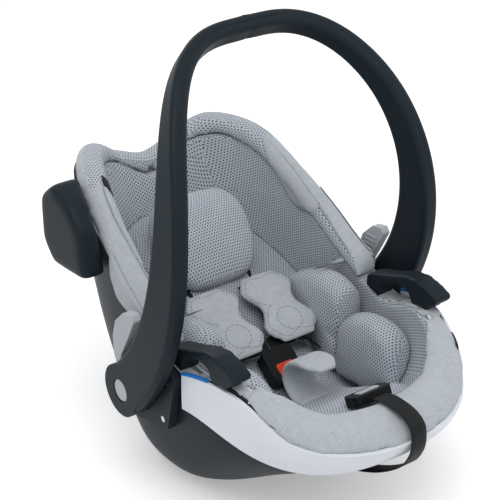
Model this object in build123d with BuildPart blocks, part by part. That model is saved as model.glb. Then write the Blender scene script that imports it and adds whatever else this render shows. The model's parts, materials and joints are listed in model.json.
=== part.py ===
from build123d import *
import os
from math import atan2, copysign, cos, degrees, hypot, radians, sin, sqrt, tan

# Infant car seat, in millimetres.
# +Z is up, -Y is the foot end, +Y is the head end, X runs across the seat.
# The origin is on the floor, straight below the axis that the carry handle turns on.

# Bucket shell
FOOT_REACH = 346.0
HEAD_REACH = 312.0
SHELL_HALF_WIDTH = 188.0
SHELL_TOP = 410.0
SHELL_WALL = 3.0
REST_FRONT = 78.0
REST_BACK = 62.0
REST_HALF_WIDTH = 118.0
WIDEST_Y = -55.0
FOOT_SQUARENESS = 2.4
HEAD_SQUARENESS = 2.8
OUTLINE_POINTS = 16
LAYER_GAP = 0.6
BEYOND = 600.0

# Slices of the shell: height, then how far it has grown from the rest patch
# towards its full foot reach, head reach and width
SHELL_SLICES = [
    (0.0, 0.0, 0.0, 0.0),
    (14.0, 0.127, 0.12, 0.457),
    (45.0, 0.306, 0.24, 0.757),
    (95.0, 0.604, 0.412, 0.914),
    (150.0, 0.896, 0.60, 0.986),
    (215.0, 0.989, 0.77, 1.0),
    (300.0, 1.0, 0.92, 1.0),
    (SHELL_TOP, 1.0, 1.0, 1.0),
]

# Side lines, as (Y, Z): the shell's rim and the foam under the seat
RIM_LINE = [
    (-300.0, 182.0), (-250.0, 204.0), (-205.0, 232.0), (-150.0, 234.0), (-110.0, 216.0),
    (-60.0, 224.0), (0.0, 252.0), (89.0, 306.0), (189.0, 364.0), (250.0, 375.0),
]
RIM_FRONT_SLOPE = 0.1
SEAT_LINE = [
    (-290.0, 179.5), (-250.0, 167.0), (-205.0, 139.5), (-160.0, 110.0), (-110.0, 88.0), (-60.0, 92.0),
]
BACK_START = (0.0, 134.0)
BACK_ANGLE = 30.0
HEAD_DIP = 50.0
HEAD_DIP_HALF_WIDTH = 125.0
HEAD_DIP_FROM = 215.0

# Foam liner, lining and rim covers
FOAM_WALL = 17.0
LINING_WALL = 11.0
COVER_HEIGHT = 27.0
COVER_PROUD = 2.0
COVER_SINK = 8.0
COVER_END_FULLNESS = 0.55
FOOT_COVER_WIDTH = 60.0
FOOT_COVER_SWEEP = 62.5
FOOT_COVER_STEPS = 6
WING_COVER_WIDTH = 40.0
WING_COVER_ANGLES = [0.25, 0.9, 2.2, 4.5, 8.5, 15.0, 25.0, 37.0, 50.0, 63.0, 74.0, 82.0, 87.0, 89.9]

# White band round the foot end
BAND_WALL = 4.5
BAND_END = -98.0
BAND_TOP = [(-300.0, 181.0), (-250.0, 203.0), (-205.0, 229.0), (-150.0, 233.0), (-80.0, 214.0)]
BAND_LOW = [(-300.0, 126.0), (-250.0, 139.0), (-200.0, 155.0), (-150.0, 168.0), (-80.0, 165.0)]
MARKER_HEIGHT = 3.5
MARKER_FRONT = -148.0

# Handle
PIVOT_Z = 160.0
HANDLE_HALF_WIDTH = 215.0
HANDLE_TOP_Z = 622.0
HANDLE_BOW_RADIUS = 296.0
HANDLE_BOW_Y = 196.0
HANDLE_BOW_Z = 382.0
HANDLE_SQUARENESS = 3.1
HANDLE_THICKNESS = 24.0
HANDLE_ARM_DEPTH = 72.0
HANDLE_GRIP_DEPTH = 30.0
HANDLE_CORNER = 7.0
HANDLE_STATIONS = [0.0, 1.0, 3.0, 6.0, 12.0, 24.0, 37.0, 49.0, 59.0, 67.0, 75.0, 82.0, 90.0]
PARTING_GAP = 0.6
HUB_RADIUS = 38.0

# Handle pivot and button
PIN_RADIUS = 8.0
PIN_START = 190.0
PIN_END = 210.0
RUNNING_CLEARANCE = 0.05
BUTTON_RADIUS = 16.0
BUTTON_HEIGHT = 5.0
BUTTON_TRAVEL = 3.0
BUTTON_RIM = 0.8
BUTTON_SUNK = 1.5
SPRING_RADIUS = 5.0
SPRING_WIRE = 1.2

# Release lever, behind each handle arm
LEVER_THICKNESS = 13.0
LEVER_PIVOT = (6.0, 188.0)
LEVER_BOSS_RADIUS = 7.0
LEVER_PIN_RADIUS = 2.5
LEVER_PIN_INSET = 1.0
LEVER_ROUND = 3.0
LEVER_SHAPE = [
    (11.0, 190.0), (20.0, 208.0), (21.0, 236.0), (13.0, 262.0), (-8.0, 283.0),
    (-26.0, 287.0), (-33.0, 279.0), (-16.0, 246.0), (3.0, 212.0), (2.0, 192.0),
]
LEVER_POCKET_GAP = 0.6
LEVER_POCKET = [(-6.0, 187.0), (-9.0, 222.0), (34.0, 222.0), (22.0, 184.0)]
LEVER_RIBS = 7
LEVER_RIB_FIRST = (10.0, 222.0)
LEVER_RIB_LAST = (-7.0, 266.0)
LEVER_RIB_SIZE = (1.2, 20.0, 3.0)

# Hinge housing and its screws
HOUSING_RADIUS = 50.0
HOUSING_OUTER = 201.0
HOUSING_INNER = 161.0
HOUSING_CLEARANCE = 2.0
HOUSING_COLUMN = [(-28.0, 116.0), (-76.0, 128.0), (-96.0, 214.0), (-62.0, 230.0), (-18.0, 205.0)]
SCREW_RADIUS = 2.2
SCREW_HEAD_RADIUS = 4.5
SCREW_HEAD_HEIGHT = 3.0
SCREW_LENGTH = 22.0
SCREW_PLACES = [(-64.0, 138.0), (-74.0, 200.0), (30.0, 134.0)]

# Belt guide
GUIDE_INNER_X = 155.0
GUIDE_WIDTH = 30.0
GUIDE_ROUND = 4.0
GUIDE_SHAPE = [
    (-60.0, 244.0), (-100.0, 258.0), (-138.0, 273.0), (-160.0, 276.0), (-186.0, 271.0), (-205.0, 263.0),
    (-201.0, 254.0), (-186.0, 244.0), (-184.0, 226.0), (-158.0, 226.0), (-148.0, 252.0), (-126.0, 254.0),
    (-94.0, 242.0), (-84.0, 212.0), (-60.0, 212.0),
]

# Side-impact pod, on the left side only, and the socket that holds it
POD_SHAPE = [
    (90.0, 282.0), (100.0, 356.0), (128.0, 384.0), (172.0, 402.0),
    (206.0, 374.0), (206.0, 306.0), (180.0, 276.0),
]
POD_INNER_X = 140.0
POD_OUTER_X = 222.0
POD_CORNER = 12.0
POD_EDGE = 9.0
SOCKET_CENTRE = (150.0, 318.0)
SOCKET_SIZE = (44.0, 30.0)
SOCKET_OUTER_X = 190.0

# Pads, lying on the foam
CUSHION_BASE = 0.95
CUSHION_SHOULDER = 0.9
CUSHION_SIDE = 0.82
PAD_THICKNESS = 22.0
PAD_HALF_WIDTH = 86.0
BACK_PAD_FROM = 8.0
BACK_PAD_TO = 238.0
SEAT_PAD_PLACES = [-258.0, -246.0, -215.0, -180.0, -140.0, -100.0, -60.0, -30.0, -16.0, -6.0]
PAD_SINK = 7.0
BOLSTER_INNER_X = 90.0
BODY_BOLSTER_HALF_WIDTH = 28.0
BODY_BOLSTER_HEIGHT = 124.0
BODY_BOLSTER_LINE = [(-92.0, 96.0), (-62.0, 104.0), (-10.0, 122.0), (40.0, 140.0), (76.0, 158.0)]
THIGH_BOLSTER_HALF_WIDTH = 27.0
THIGH_BOLSTER_HEIGHT = 110.0
THIGH_BOLSTER_LINE = [(-204.0, 118.0), (-186.0, 112.0), (-130.0, 106.0), (-80.0, 104.0), (-54.0, 104.0)]
BOLSTER_MEETING = -68.0
BOLSTER_CLEARANCE = 0.8

# Headrest
PLATE_THICKNESS = 3.0
PLATE_HALF_WIDTH = 58.0
PLATE_FROM = 104.0
PLATE_TO = 222.0
PLATE_CORNER = 14.0
HEADREST_TRAVEL = 50.0
PILLOW_FROM = 108.0
PILLOW_TO = 236.0
PILLOW_HALF_WIDTH = 78.0
PILLOW_THICKNESS = 44.0

# Harness
WEBBING = 2.0
WEBBING_WIDTH = 30.0
STRAP_CENTRE_X = 36.0
STRAP_SLOT = (98.0, 23.0)
STRAP_BEND = (88.0, 40.0)
END_GAP = 0.6
SHOULDER_PAD_HALF_WIDTH = 33.0
SHOULDER_PAD_THICKNESS = 14.0
SHOULDER_PAD_LIFT = (5.0, 1.8)
SHOULDER_PAD_WAIST = [0.72, 1.0, 0.94, 0.7, 0.9, 1.0, 0.74]
BUCKLE_WIDTH = 50.0
BUCKLE_LENGTH = 52.0
BUCKLE_DEPTH = 22.0
BUCKLE_CORNER = 9.0
BUCKLE_CENTRE = (-62.0, 146.0)
BUCKLE_TILT = 35.0
BUCKLE_BUTTON = (28.0, 17.0)
BUCKLE_BUTTON_UP = -8.0
TONGUE_WIDTH = 42.0
TONGUE_LENGTH = 20.0
TONGUE_THICKNESS = 3.0
TONGUE_FROM_X = 2.0
LAP_END = (85.0, 138.0)
LAP_MIDDLE = (66.0, 158.0)
PRESS_HEIGHT = 7.0
PRESS_PROUD = 1.2
PRESS_CLEARANCE = 0.5
PRESS_TRAVEL = 4.0
PRESS_ROUND = 3.0
CROTCH_STRAP_FOOT = (-106.0, 114.5)
CROTCH_PAD_LINE = [
    (-168.0, 192.0), (-130.0, 190.0), (-106.0, 177.0), (-99.0, 157.0), (-108.0, 138.0), (-142.0, 132.2),
]
CROTCH_PAD_THICKNESS = 9.0
CROTCH_PAD_WIDTH = 54.0
ADJUSTER_PLACE = -251.0
ADJUSTER_TILT = 27.0
ADJUSTER_LIFT = 21.8
ADJUSTER_WIDTH = 62.0
ADJUSTER_LENGTH = 32.0
ADJUSTER_DEPTH = 13.0
ADJUSTER_BUTTON = (34.0, 14.0)
ADJUSTER_STRAP_WIDTH = 26.0
ADJUSTER_STRAP_LINE = [
    (-271.0, 205.0), (-290.0, 210.0), (-322.0, 209.0), (-342.0, 199.0), (-347.5, 180.0), (-344.0, 158.0),
    (-328.0, 132.0), (-290.0, 102.0), (-245.0, 79.0), (-205.0, 69.0),
]

os.makedirs("parts", exist_ok=True)


def save(part, name):
    """Label one finished piece and write it."""
    part.label = name
    export_step(part, f"parts/{name}.step")


def save_pair(part, name):
    """Write a right-hand piece and its left-hand mirror image."""
    save(part, f"{name}_right")
    with BuildPart() as twin:
        mirror(part, about=Plane.YZ)
    save(twin.part, f"{name}_left")


def power(value, exponent):
    """Raise the size of a value, keeping its sign."""
    return copysign(abs(value) ** exponent, value)


def interpolate(pairs, at):
    """Straight-line value at a place in a list of rising (place, value) pairs."""
    if at <= pairs[0][0]:
        return pairs[0][1]
    for (low, start), (high, end) in zip(pairs, pairs[1:]):
        if at <= high:
            return start + (end - start) * (at - low) / (high - low)
    return pairs[-1][1]


def side_plane(x):
    """A sketch plane across the seat at X, with sketch coordinates (Y, Z)."""
    return Plane.YZ.offset(x)


def slope_plane(x, place, angle):
    """A plane square to a line that rises towards the head end; its second axis points out of the seat."""
    return Plane((x, *place), x_dir=(-1, 0, 0), z_dir=(0, cos(radians(angle)), sin(radians(angle))))


def face_plane(x, place, tilt):
    """A plane facing up and out of the seat, tilted towards the foot end."""
    return Plane((x, *place), x_dir=(1, 0, 0), z_dir=(0, -sin(radians(tilt)), cos(radians(tilt))))


def crossbar(radius, start, end, place):
    """A round bar along X, between two places."""
    with Locations(Location(((start + end) / 2, *place), (0, 90, 0))):
        return Cylinder(radius, end - start)


def slice_growth(height):
    """Foot reach, head reach, half width and widest place of the shell at a height."""
    foot, head, width = (interpolate([(row[0], row[i]) for row in SHELL_SLICES], height) for i in (1, 2, 3))
    front = REST_FRONT + foot * (FOOT_REACH - REST_FRONT)
    back = REST_BACK + head * (HEAD_REACH - REST_BACK)
    half = REST_HALF_WIDTH + width * (SHELL_HALF_WIDTH - REST_HALF_WIDTH)
    return front, back, half, WIDEST_Y * foot


def shell_outline(front, back, half_width, middle, angle):
    """A point of the rounded-square outline seen from above, angle 0 on the +X side."""
    across, along = cos(radians(angle)), sin(radians(angle))
    squareness = HEAD_SQUARENESS if along > 0 else FOOT_SQUARENESS
    reach = back - middle if along > 0 else front + middle
    return half_width * power(across, 2 / squareness), middle + reach * power(along, 2 / squareness)


def hull(inset):
    """The bucket as one solid, drawn in on all sides by the inset."""
    with BuildPart() as body:
        for row in SHELL_SLICES:
            front, back, half, middle = slice_growth(row[0])
            with BuildSketch(Plane.XY.offset(row[0] + inset)):
                with BuildLine():
                    turns = [360 * i / OUTLINE_POINTS for i in range(OUTLINE_POINTS)]
                    sizes = (front - inset, back - inset, half - inset, middle)
                    Spline(*[shell_outline(*sizes, turn) for turn in turns], periodic=True)
                make_face()
        loft()
    return body.part


def space_above(line, lift=0.0, front_slope=0.0, back_slope=0.0):
    """Everything above a side line that runs on straight past both of its ends."""
    first, last = line[0], line[-1]
    start = (-BEYOND, first[1] - front_slope * (BEYOND + first[0]) + lift)
    finish = (BEYOND, last[1] + back_slope * (BEYOND - last[0]) + lift)
    with BuildPart() as space:
        with BuildSketch(Plane.YZ):
            with BuildLine():
                lifted = [(y, z + lift) for y, z in line]
                Line(start, lifted[0])
                Spline(*lifted)
                Polyline(lifted[-1], finish, (BEYOND, 2 * BEYOND), (-BEYOND, 2 * BEYOND), start)
            make_face()
        extrude(amount=BEYOND, both=True)
    return space.part


def head_dip(lift=0.0):
    """The space over the low middle of the rim at the head end."""
    side_z = RIM_LINE[-1][1] + lift
    with BuildPart() as space:
        with BuildSketch(Plane.XZ.offset(-HEAD_DIP_FROM)):
            with BuildLine():
                Spline(
                    (-HEAD_DIP_HALF_WIDTH, side_z),
                    (0, side_z - HEAD_DIP),
                    (HEAD_DIP_HALF_WIDTH, side_z),
                    tangents=[(1, 0), (1, 0)],
                )
                Polyline(
                    (HEAD_DIP_HALF_WIDTH, side_z),
                    (HEAD_DIP_HALF_WIDTH, BEYOND),
                    (-HEAD_DIP_HALF_WIDTH, BEYOND),
                    (-HEAD_DIP_HALF_WIDTH, side_z),
                )
            make_face()
        extrude(amount=-BEYOND)
    return space.part


def back_point(along, above):
    """(Y, Z) of a point measured up the sloping back and square out from the foam."""
    angle = radians(BACK_ANGLE)
    y = BACK_START[0] + along * cos(angle) - above * sin(angle)
    z = BACK_START[1] + along * sin(angle) + above * cos(angle)
    return y, z


def strip_edges(line, thickness):
    """The two edges of a strip that follows a bent line."""
    upper, lower = [], []
    for i, (a, b) in enumerate(line):
        before, after = line[max(i - 1, 0)], line[min(i + 1, len(line) - 1)]
        run, climb = after[0] - before[0], after[1] - before[1]
        half = thickness / 2 / hypot(run, climb)
        upper.append((a - climb * half, b + run * half))
        lower.append((a + climb * half, b - run * half))
    return upper, lower


def strip(line, thickness, plane, width, edge=Polyline):
    """A strap or flat pad of even thickness along a bent line, drawn on a plane."""
    upper, lower = strip_edges(line, thickness)
    with BuildPart() as strap:
        with BuildSketch(plane):
            with BuildLine():
                edge(*upper)
                Line(upper[-1], lower[-1])
                edge(*lower[::-1])
                Line(lower[0], upper[0])
            make_face()
        extrude(amount=width)
    return strap.part


def cushion_section(plane, half_width, thickness, sink=0.0):
    """One slice of a stuffed pad: flat below, drawn in at the seams, crowned on top."""
    base, shoulder, side = CUSHION_BASE * half_width, CUSHION_SHOULDER * half_width, CUSHION_SIDE * thickness
    with BuildSketch(plane) as section:
        with BuildLine():
            Line((-base, -sink), (base, -sink))
            ThreePointArc((base, -sink), (half_width, side / 2), (shoulder, side))
            ThreePointArc((shoulder, side), (0, thickness), (-shoulder, side))
            ThreePointArc((-shoulder, side), (-half_width, side / 2), (-base, -sink))
        make_face()
    return section.sketch


def cushion(sections):
    """Loft one stuffed pad through its slices."""
    with BuildPart() as pad:
        loft(sections)
    return pad.part


foam_line = SEAT_LINE + [BACK_START]
back_rise = tan(radians(BACK_ANGLE))
over_rim = space_above(RIM_LINE, 0.0, RIM_FRONT_SLOPE)
over_rim_gap = space_above(RIM_LINE, LAYER_GAP, RIM_FRONT_SLOPE)
over_dip = head_dip()
over_foam = space_above(foam_line, 0.0, 0.0, back_rise)
over_foam_gap = space_above(foam_line, LAYER_GAP, 0.0, back_rise)
over_foam_pads = space_above(foam_line, 2 * LAYER_GAP, 0.0, back_rise)

foam_outside = SHELL_WALL + LAYER_GAP
foam_inside = foam_outside + FOAM_WALL
lining_outside = foam_inside + LAYER_GAP
lining_inside = lining_outside + LINING_WALL
room = hull(lining_inside + BOLSTER_CLEARANCE)
shell_skin = hull(-LAYER_GAP)
housing_skin = hull(-HOUSING_CLEARANCE)

# Bucket shell
with BuildPart() as screw_holes:
    for place in SCREW_PLACES:
        crossbar(SCREW_RADIUS + RUNNING_CLEARANCE, -HOUSING_OUTER, HOUSING_OUTER, place)

with BuildPart() as base_shell:
    add(hull(0))
    add(hull(SHELL_WALL), mode=Mode.SUBTRACT)
    add(over_rim, mode=Mode.SUBTRACT)
    add(over_dip, mode=Mode.SUBTRACT)
    add(screw_holes.part, mode=Mode.SUBTRACT)
save(base_shell.part, "base_shell")

# Energy-absorbing foam between the shell and the lining
with BuildPart() as foam_hollow:
    add(hull(foam_inside))
    add(over_foam, mode=Mode.INTERSECT)

with BuildPart() as foam_liner:
    add(hull(foam_outside))
    add(foam_hollow.part, mode=Mode.SUBTRACT)
    add(over_rim, mode=Mode.SUBTRACT)
    add(over_dip, mode=Mode.SUBTRACT)
    add(screw_holes.part, mode=Mode.SUBTRACT)
save(foam_liner.part, "foam_liner")

# Mesh lining of the side walls
with BuildPart() as seat_lining:
    add(hull(lining_outside))
    add(hull(lining_inside), mode=Mode.SUBTRACT)
    add(over_foam_gap, mode=Mode.INTERSECT)
    add(over_rim, mode=Mode.SUBTRACT)
    add(over_dip, mode=Mode.SUBTRACT)
save(seat_lining.part, "seat_lining")

# White band that wraps the foot end, with a blue marker on its top edge under each belt guide
with BuildPart() as band_ring:
    add(hull(-BAND_WALL - LAYER_GAP))
    add(shell_skin, mode=Mode.SUBTRACT)

with BuildPart() as front_band:
    add(band_ring.part)
    add(space_above(BAND_LOW, 0.0, RIM_FRONT_SLOPE), mode=Mode.INTERSECT)
    add(space_above(BAND_TOP, 0.0, RIM_FRONT_SLOPE), mode=Mode.SUBTRACT)
    split(bisect_by=Plane.XZ.offset(-BAND_END), keep=Keep.TOP)
save(front_band.part, "front_band")

with BuildPart() as belt_marker:
    add(band_ring.part)
    with Locations((SHELL_HALF_WIDTH, (MARKER_FRONT + BAND_END) / 2, PIVOT_Z)):
        Box(SHELL_HALF_WIDTH, BAND_END - MARKER_FRONT, BEYOND, mode=Mode.INTERSECT)
    add(space_above(BAND_TOP, LAYER_GAP, RIM_FRONT_SLOPE), mode=Mode.INTERSECT)
    add(space_above(BAND_TOP, LAYER_GAP + MARKER_HEIGHT, RIM_FRONT_SLOPE), mode=Mode.SUBTRACT)
save_pair(belt_marker.part, "belt_marker")


# Rim covers: padded fabric that caps the shell's edge
def rim_point(angle):
    """A point on the shell's outer edge, level with its rim."""
    height = SHELL_TOP
    for _ in range(4):
        x, y = shell_outline(*slice_growth(height), angle)
        height = interpolate(RIM_LINE, y)
        if y > HEAD_DIP_FROM and abs(x) < HEAD_DIP_HALF_WIDTH:
            height -= HEAD_DIP * cos(radians(90 * x / HEAD_DIP_HALF_WIDTH)) ** 2
    return Vector(x, y, height)


def cover_section(angle, width, fullness):
    """One upright slice of a rim cover: flat below, with rounded shoulders and a crowned top."""
    along = rim_point(angle + 0.5) - rim_point(angle - 0.5)
    inward = Vector(-along.Y, along.X, 0).normalized()
    plane = Plane(rim_point(angle), x_dir=inward, z_dir=inward.cross(Vector(0, 0, 1)))
    top = COVER_HEIGHT * fullness
    outer, inner = -COVER_PROUD, width
    left, right = 0.3 * width, 0.66 * width
    low, high = 0.35 * top, 0.95 * top
    with BuildSketch(plane) as section:
        with BuildLine():
            Polyline((outer, low), (outer, -COVER_SINK), (inner, -COVER_SINK), (inner, low))
            ThreePointArc((inner, low), (inner - 0.09 * width, 0.76 * top), (right, high))
            ThreePointArc((right, high), (0.48 * width, top), (left, high))
            ThreePointArc((left, high), (outer + 0.09 * width, 0.76 * top), (outer, low))
        make_face()
    return section.sketch


with BuildPart() as under_covers:
    with Locations((0, 0, BEYOND / 2)):
        Box(2 * BEYOND, 2 * BEYOND, BEYOND)
    add(over_rim_gap, mode=Mode.SUBTRACT)
    add(head_dip(LAYER_GAP), mode=Mode.SUBTRACT)


def rim_cover(stations):
    """Loft a rim cover through (angle, width, fullness) stations and seat it on the rim."""
    with BuildPart() as cover:
        loft([cover_section(*station) for station in stations])
        add(under_covers.part, mode=Mode.SUBTRACT)
    return cover.part


foot_stations = []
for step in range(FOOT_COVER_STEPS + 1):
    share = step / FOOT_COVER_STEPS
    width = WING_COVER_WIDTH + (FOOT_COVER_WIDTH - WING_COVER_WIDTH) * cos(radians(90 * share))
    fullness = COVER_END_FULLNESS if step == FOOT_COVER_STEPS else 1.0
    foot_stations.append((270 + FOOT_COVER_SWEEP * share, width, fullness))
with BuildPart() as foot_cover:
    add(rim_cover(foot_stations))
    mirror(about=Plane.YZ)
save(foot_cover.part, "foot_cover")

wing_stations = []
for angle in WING_COVER_ANGLES:
    fullness = COVER_END_FULLNESS if angle == WING_COVER_ANGLES[0] else 1.0
    wing_stations.append((angle, WING_COVER_WIDTH, fullness))
save_pair(rim_cover(wing_stations), "wing_cover")


# Carry handle: an outer and an inner shell that meet on the parting line
def handle_point(turn):
    """A point of the handle's middle line, turn 0 at the right pivot and 90 at the top, and its rise."""
    rise = power(sin(radians(turn)), 2 / HANDLE_SQUARENESS)
    x = HANDLE_HALF_WIDTH * power(cos(radians(turn)), 2 / HANDLE_SQUARENESS)
    z = PIVOT_Z + rise * (HANDLE_TOP_Z - PIVOT_Z)
    y = HANDLE_BOW_Y - sqrt(HANDLE_BOW_RADIUS ** 2 - (z - HANDLE_BOW_Z) ** 2)
    return Vector(x, y, z), rise


def handle_section(turn, side):
    """Half of the handle's section: side 1 on the inside of the arch, -1 on the outside."""
    here, rise = handle_point(turn)
    along = handle_point(turn + 0.4)[0] - handle_point(turn - 0.4)[0]
    depth_way = Vector(0, HANDLE_BOW_Y - here.Y, HANDLE_BOW_Z - here.Z)
    half = 0.5 * (HANDLE_ARM_DEPTH + (HANDLE_GRIP_DEPTH - HANDLE_ARM_DEPTH) * rise ** 1.5)
    near = side * PARTING_GAP / 2
    far = side * HANDLE_THICKNESS / 2
    turn_in = far - side * HANDLE_CORNER
    flat = half - HANDLE_CORNER
    notch = HANDLE_CORNER * (1 - cos(radians(45)))
    with BuildSketch(Plane(here, x_dir=depth_way, z_dir=along)) as section:
        with BuildLine():
            Polyline((-half, turn_in), (-half, near), (half, near), (half, turn_in))
            ThreePointArc((half, turn_in), (half - notch, far - side * notch), (flat, far))
            Line((flat, far), (-flat, far))
            ThreePointArc((-flat, far), (-half + notch, far - side * notch), (-half, turn_in))
        make_face()
    return section.sketch


hub_inner = HANDLE_HALF_WIDTH - HANDLE_THICKNESS / 2
hub_outer = HANDLE_HALF_WIDTH + HANDLE_THICKNESS / 2
lever_inner = HANDLE_HALF_WIDTH - LEVER_THICKNESS / 2
lever_pin_inner = hub_inner + LEVER_PIN_INSET
lever_pin_outer = hub_outer - LEVER_PIN_INSET
button_outer = hub_outer - BUTTON_SUNK
button_inner = button_outer - BUTTON_HEIGHT
pressed_inner = button_inner - BUTTON_TRAVEL
pivot = (0, PIVOT_Z)

with BuildPart() as hub_cuts:
    crossbar(PIN_RADIUS + RUNNING_CLEARANCE, hub_inner - HUB_RADIUS, hub_outer + HUB_RADIUS, pivot)
    crossbar(BUTTON_RADIUS + BUTTON_RIM, pressed_inner - LAYER_GAP, hub_outer + HUB_RADIUS, pivot)
    crossbar(LEVER_PIN_RADIUS + RUNNING_CLEARANCE, lever_pin_inner, lever_pin_outer, LEVER_PIVOT)
    with BuildSketch(side_plane(lever_inner - LEVER_POCKET_GAP)):
        with BuildLine():
            Polyline(*LEVER_POCKET, close=True)
        make_face()
        with Locations(LEVER_PIVOT):
            Circle(LEVER_BOSS_RADIUS + LEVER_POCKET_GAP)
    extrude(amount=LEVER_THICKNESS + 2 * LEVER_POCKET_GAP)


def handle_shell(side):
    """One shell of the handle, both arms, with its hubs."""
    with BuildPart() as shell:
        loft([handle_section(turn, side) for turn in HANDLE_STATIONS])
        if side > 0:
            crossbar(HUB_RADIUS, hub_inner, HANDLE_HALF_WIDTH - PARTING_GAP / 2, pivot)
        else:
            crossbar(HUB_RADIUS, HANDLE_HALF_WIDTH + PARTING_GAP / 2, hub_outer, pivot)
        add(hub_cuts.part, mode=Mode.SUBTRACT)
        mirror(about=Plane.YZ)
    return shell.part


save(handle_shell(-1), "handle_outer")
save(handle_shell(1), "handle_inner")

with BuildPart() as pivot_pin:
    crossbar(PIN_RADIUS, PIN_START, PIN_END, pivot)
save_pair(pivot_pin.part, "pivot_pin")

with BuildPart() as handle_button:
    crossbar(BUTTON_RADIUS, button_inner, button_outer, pivot)
    fillet(handle_button.faces().sort_by(Axis.X)[-1].edges(), radius=BUTTON_RIM)
save_pair(handle_button.part, "handle_button")

# The spring behind each button, drawn at the length it has when pressed
with BuildPart() as spring_hole:
    crossbar(SPRING_RADIUS - SPRING_WIRE, PIN_END, pressed_inner, pivot)

with BuildPart() as button_spring:
    crossbar(SPRING_RADIUS, PIN_END, pressed_inner - LAYER_GAP, pivot)
    add(spring_hole.part, mode=Mode.SUBTRACT)
save_pair(button_spring.part, "button_spring")

# Release lever behind each arm, ribbed on the side that fingers reach
with BuildPart() as release_lever:
    with BuildSketch(side_plane(lever_inner)) as lever_outline:
        with BuildLine():
            Polyline(*LEVER_SHAPE, close=True)
        make_face()
        fillet(lever_outline.vertices(), LEVER_ROUND)
        with Locations(LEVER_PIVOT):
            Circle(LEVER_BOSS_RADIUS)
            Circle(LEVER_PIN_RADIUS + RUNNING_CLEARANCE, mode=Mode.SUBTRACT)
    extrude(amount=LEVER_THICKNESS)
    for rib in range(LEVER_RIBS):
        share = rib / (LEVER_RIBS - 1)
        y, z = (a + share * (b - a) for a, b in zip(LEVER_RIB_FIRST, LEVER_RIB_LAST))
        with Locations((lever_inner, y, z)):
            Box(2 * LEVER_RIB_SIZE[0], LEVER_RIB_SIZE[1], LEVER_RIB_SIZE[2])
save_pair(release_lever.part, "release_lever")

with BuildPart() as lever_pin:
    crossbar(LEVER_PIN_RADIUS, lever_pin_inner, lever_pin_outer, LEVER_PIVOT)
save_pair(lever_pin.part, "lever_pin")

# Hinge housing on each side of the shell, and the screws that hold both
head_seat = HOUSING_OUTER - SCREW_HEAD_HEIGHT - LAYER_GAP
with BuildPart() as screw_heads:
    for place in SCREW_PLACES:
        crossbar(SCREW_HEAD_RADIUS + LAYER_GAP, head_seat, HOUSING_OUTER + SCREW_HEAD_HEIGHT, place)
        crossbar(SCREW_RADIUS + RUNNING_CLEARANCE, HOUSING_INNER, HOUSING_OUTER, place)
    crossbar(PIN_RADIUS + RUNNING_CLEARANCE, PIN_START, HOUSING_OUTER + SCREW_HEAD_HEIGHT, pivot)

with BuildPart() as hinge_housing:
    with BuildSketch(side_plane(HOUSING_INNER)):
        with BuildLine():
            Polyline(*HOUSING_COLUMN, close=True)
        make_face()
        with Locations(pivot):
            Circle(HOUSING_RADIUS)
    extrude(amount=HOUSING_OUTER - HOUSING_INNER)
    add(housing_skin, mode=Mode.SUBTRACT)
    add(screw_heads.part, mode=Mode.SUBTRACT)
save_pair(hinge_housing.part, "hinge_housing")

with BuildPart() as hinge_screws:
    for place in SCREW_PLACES:
        crossbar(SCREW_HEAD_RADIUS, head_seat, head_seat + SCREW_HEAD_HEIGHT, place)
        crossbar(SCREW_RADIUS, head_seat - SCREW_LENGTH, head_seat, place)
    mirror(about=Plane.YZ)
save(hinge_screws.part, "hinge_screws")

# Belt guide standing on the rim at each side
with BuildPart() as belt_guide:
    with BuildSketch(side_plane(GUIDE_INNER_X)) as guide_outline:
        with BuildLine():
            Polyline(*GUIDE_SHAPE, close=True)
        make_face()
        fillet(guide_outline.vertices(), GUIDE_ROUND)
    extrude(amount=GUIDE_WIDTH)
    add(over_rim_gap, mode=Mode.INTERSECT)
save_pair(belt_guide.part, "belt_guide")

# Side-impact pod on the left, clipped over its socket
with BuildPart() as pod_socket:
    with BuildSketch(side_plane(-SOCKET_OUTER_X)):
        with Locations(SOCKET_CENTRE):
            Rectangle(*SOCKET_SIZE)
    extrude(amount=SOCKET_OUTER_X - POD_INNER_X)
    add(shell_skin, mode=Mode.SUBTRACT)
save(pod_socket.part, "pod_socket")

with BuildPart() as side_pod:
    with BuildSketch(side_plane(-POD_OUTER_X)) as pod_outline:
        with BuildLine():
            Polyline(*POD_SHAPE, close=True)
        make_face()
        fillet(pod_outline.vertices(), POD_CORNER)
    extrude(amount=POD_OUTER_X - POD_INNER_X)
    fillet(side_pod.faces().sort_by(Axis.X)[0].edges(), radius=POD_EDGE)
    add(hull(-COVER_PROUD - 2 * LAYER_GAP), mode=Mode.SUBTRACT)
    with BuildSketch(side_plane(-SOCKET_OUTER_X - LAYER_GAP)):
        with Locations(SOCKET_CENTRE):
            Rectangle(SOCKET_SIZE[0] + 2 * LAYER_GAP, SOCKET_SIZE[1] + 2 * LAYER_GAP)
    extrude(amount=SOCKET_OUTER_X - POD_INNER_X, mode=Mode.SUBTRACT)
save(side_pod.part, "side_impact_pod")

# Seat pad and back pad
ENDS = {0: 0.5, 1: 0.85}


def end_share(index, count):
    """How full a pad is at one of its slices: drawn in at both ends."""
    return ENDS.get(min(index, count - 1 - index), 1.0)


seat_sections = []
for i, y in enumerate(SEAT_PAD_PLACES):
    rise = interpolate(foam_line, y + PAD_SINK) - interpolate(foam_line, y - PAD_SINK)
    plane = slope_plane(0, (y, interpolate(foam_line, y)), degrees(atan2(rise, 2 * PAD_SINK)))
    full = end_share(i, len(SEAT_PAD_PLACES))
    width = PAD_HALF_WIDTH * (0.7 + 0.3 * full)
    seat_sections.append(cushion_section(plane, width, PAD_THICKNESS * full + LAYER_GAP, PAD_SINK))
with BuildPart() as seat_pad:
    loft(seat_sections)
    add(over_foam_pads, mode=Mode.INTERSECT)
save(seat_pad.part, "seat_pad")

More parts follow.
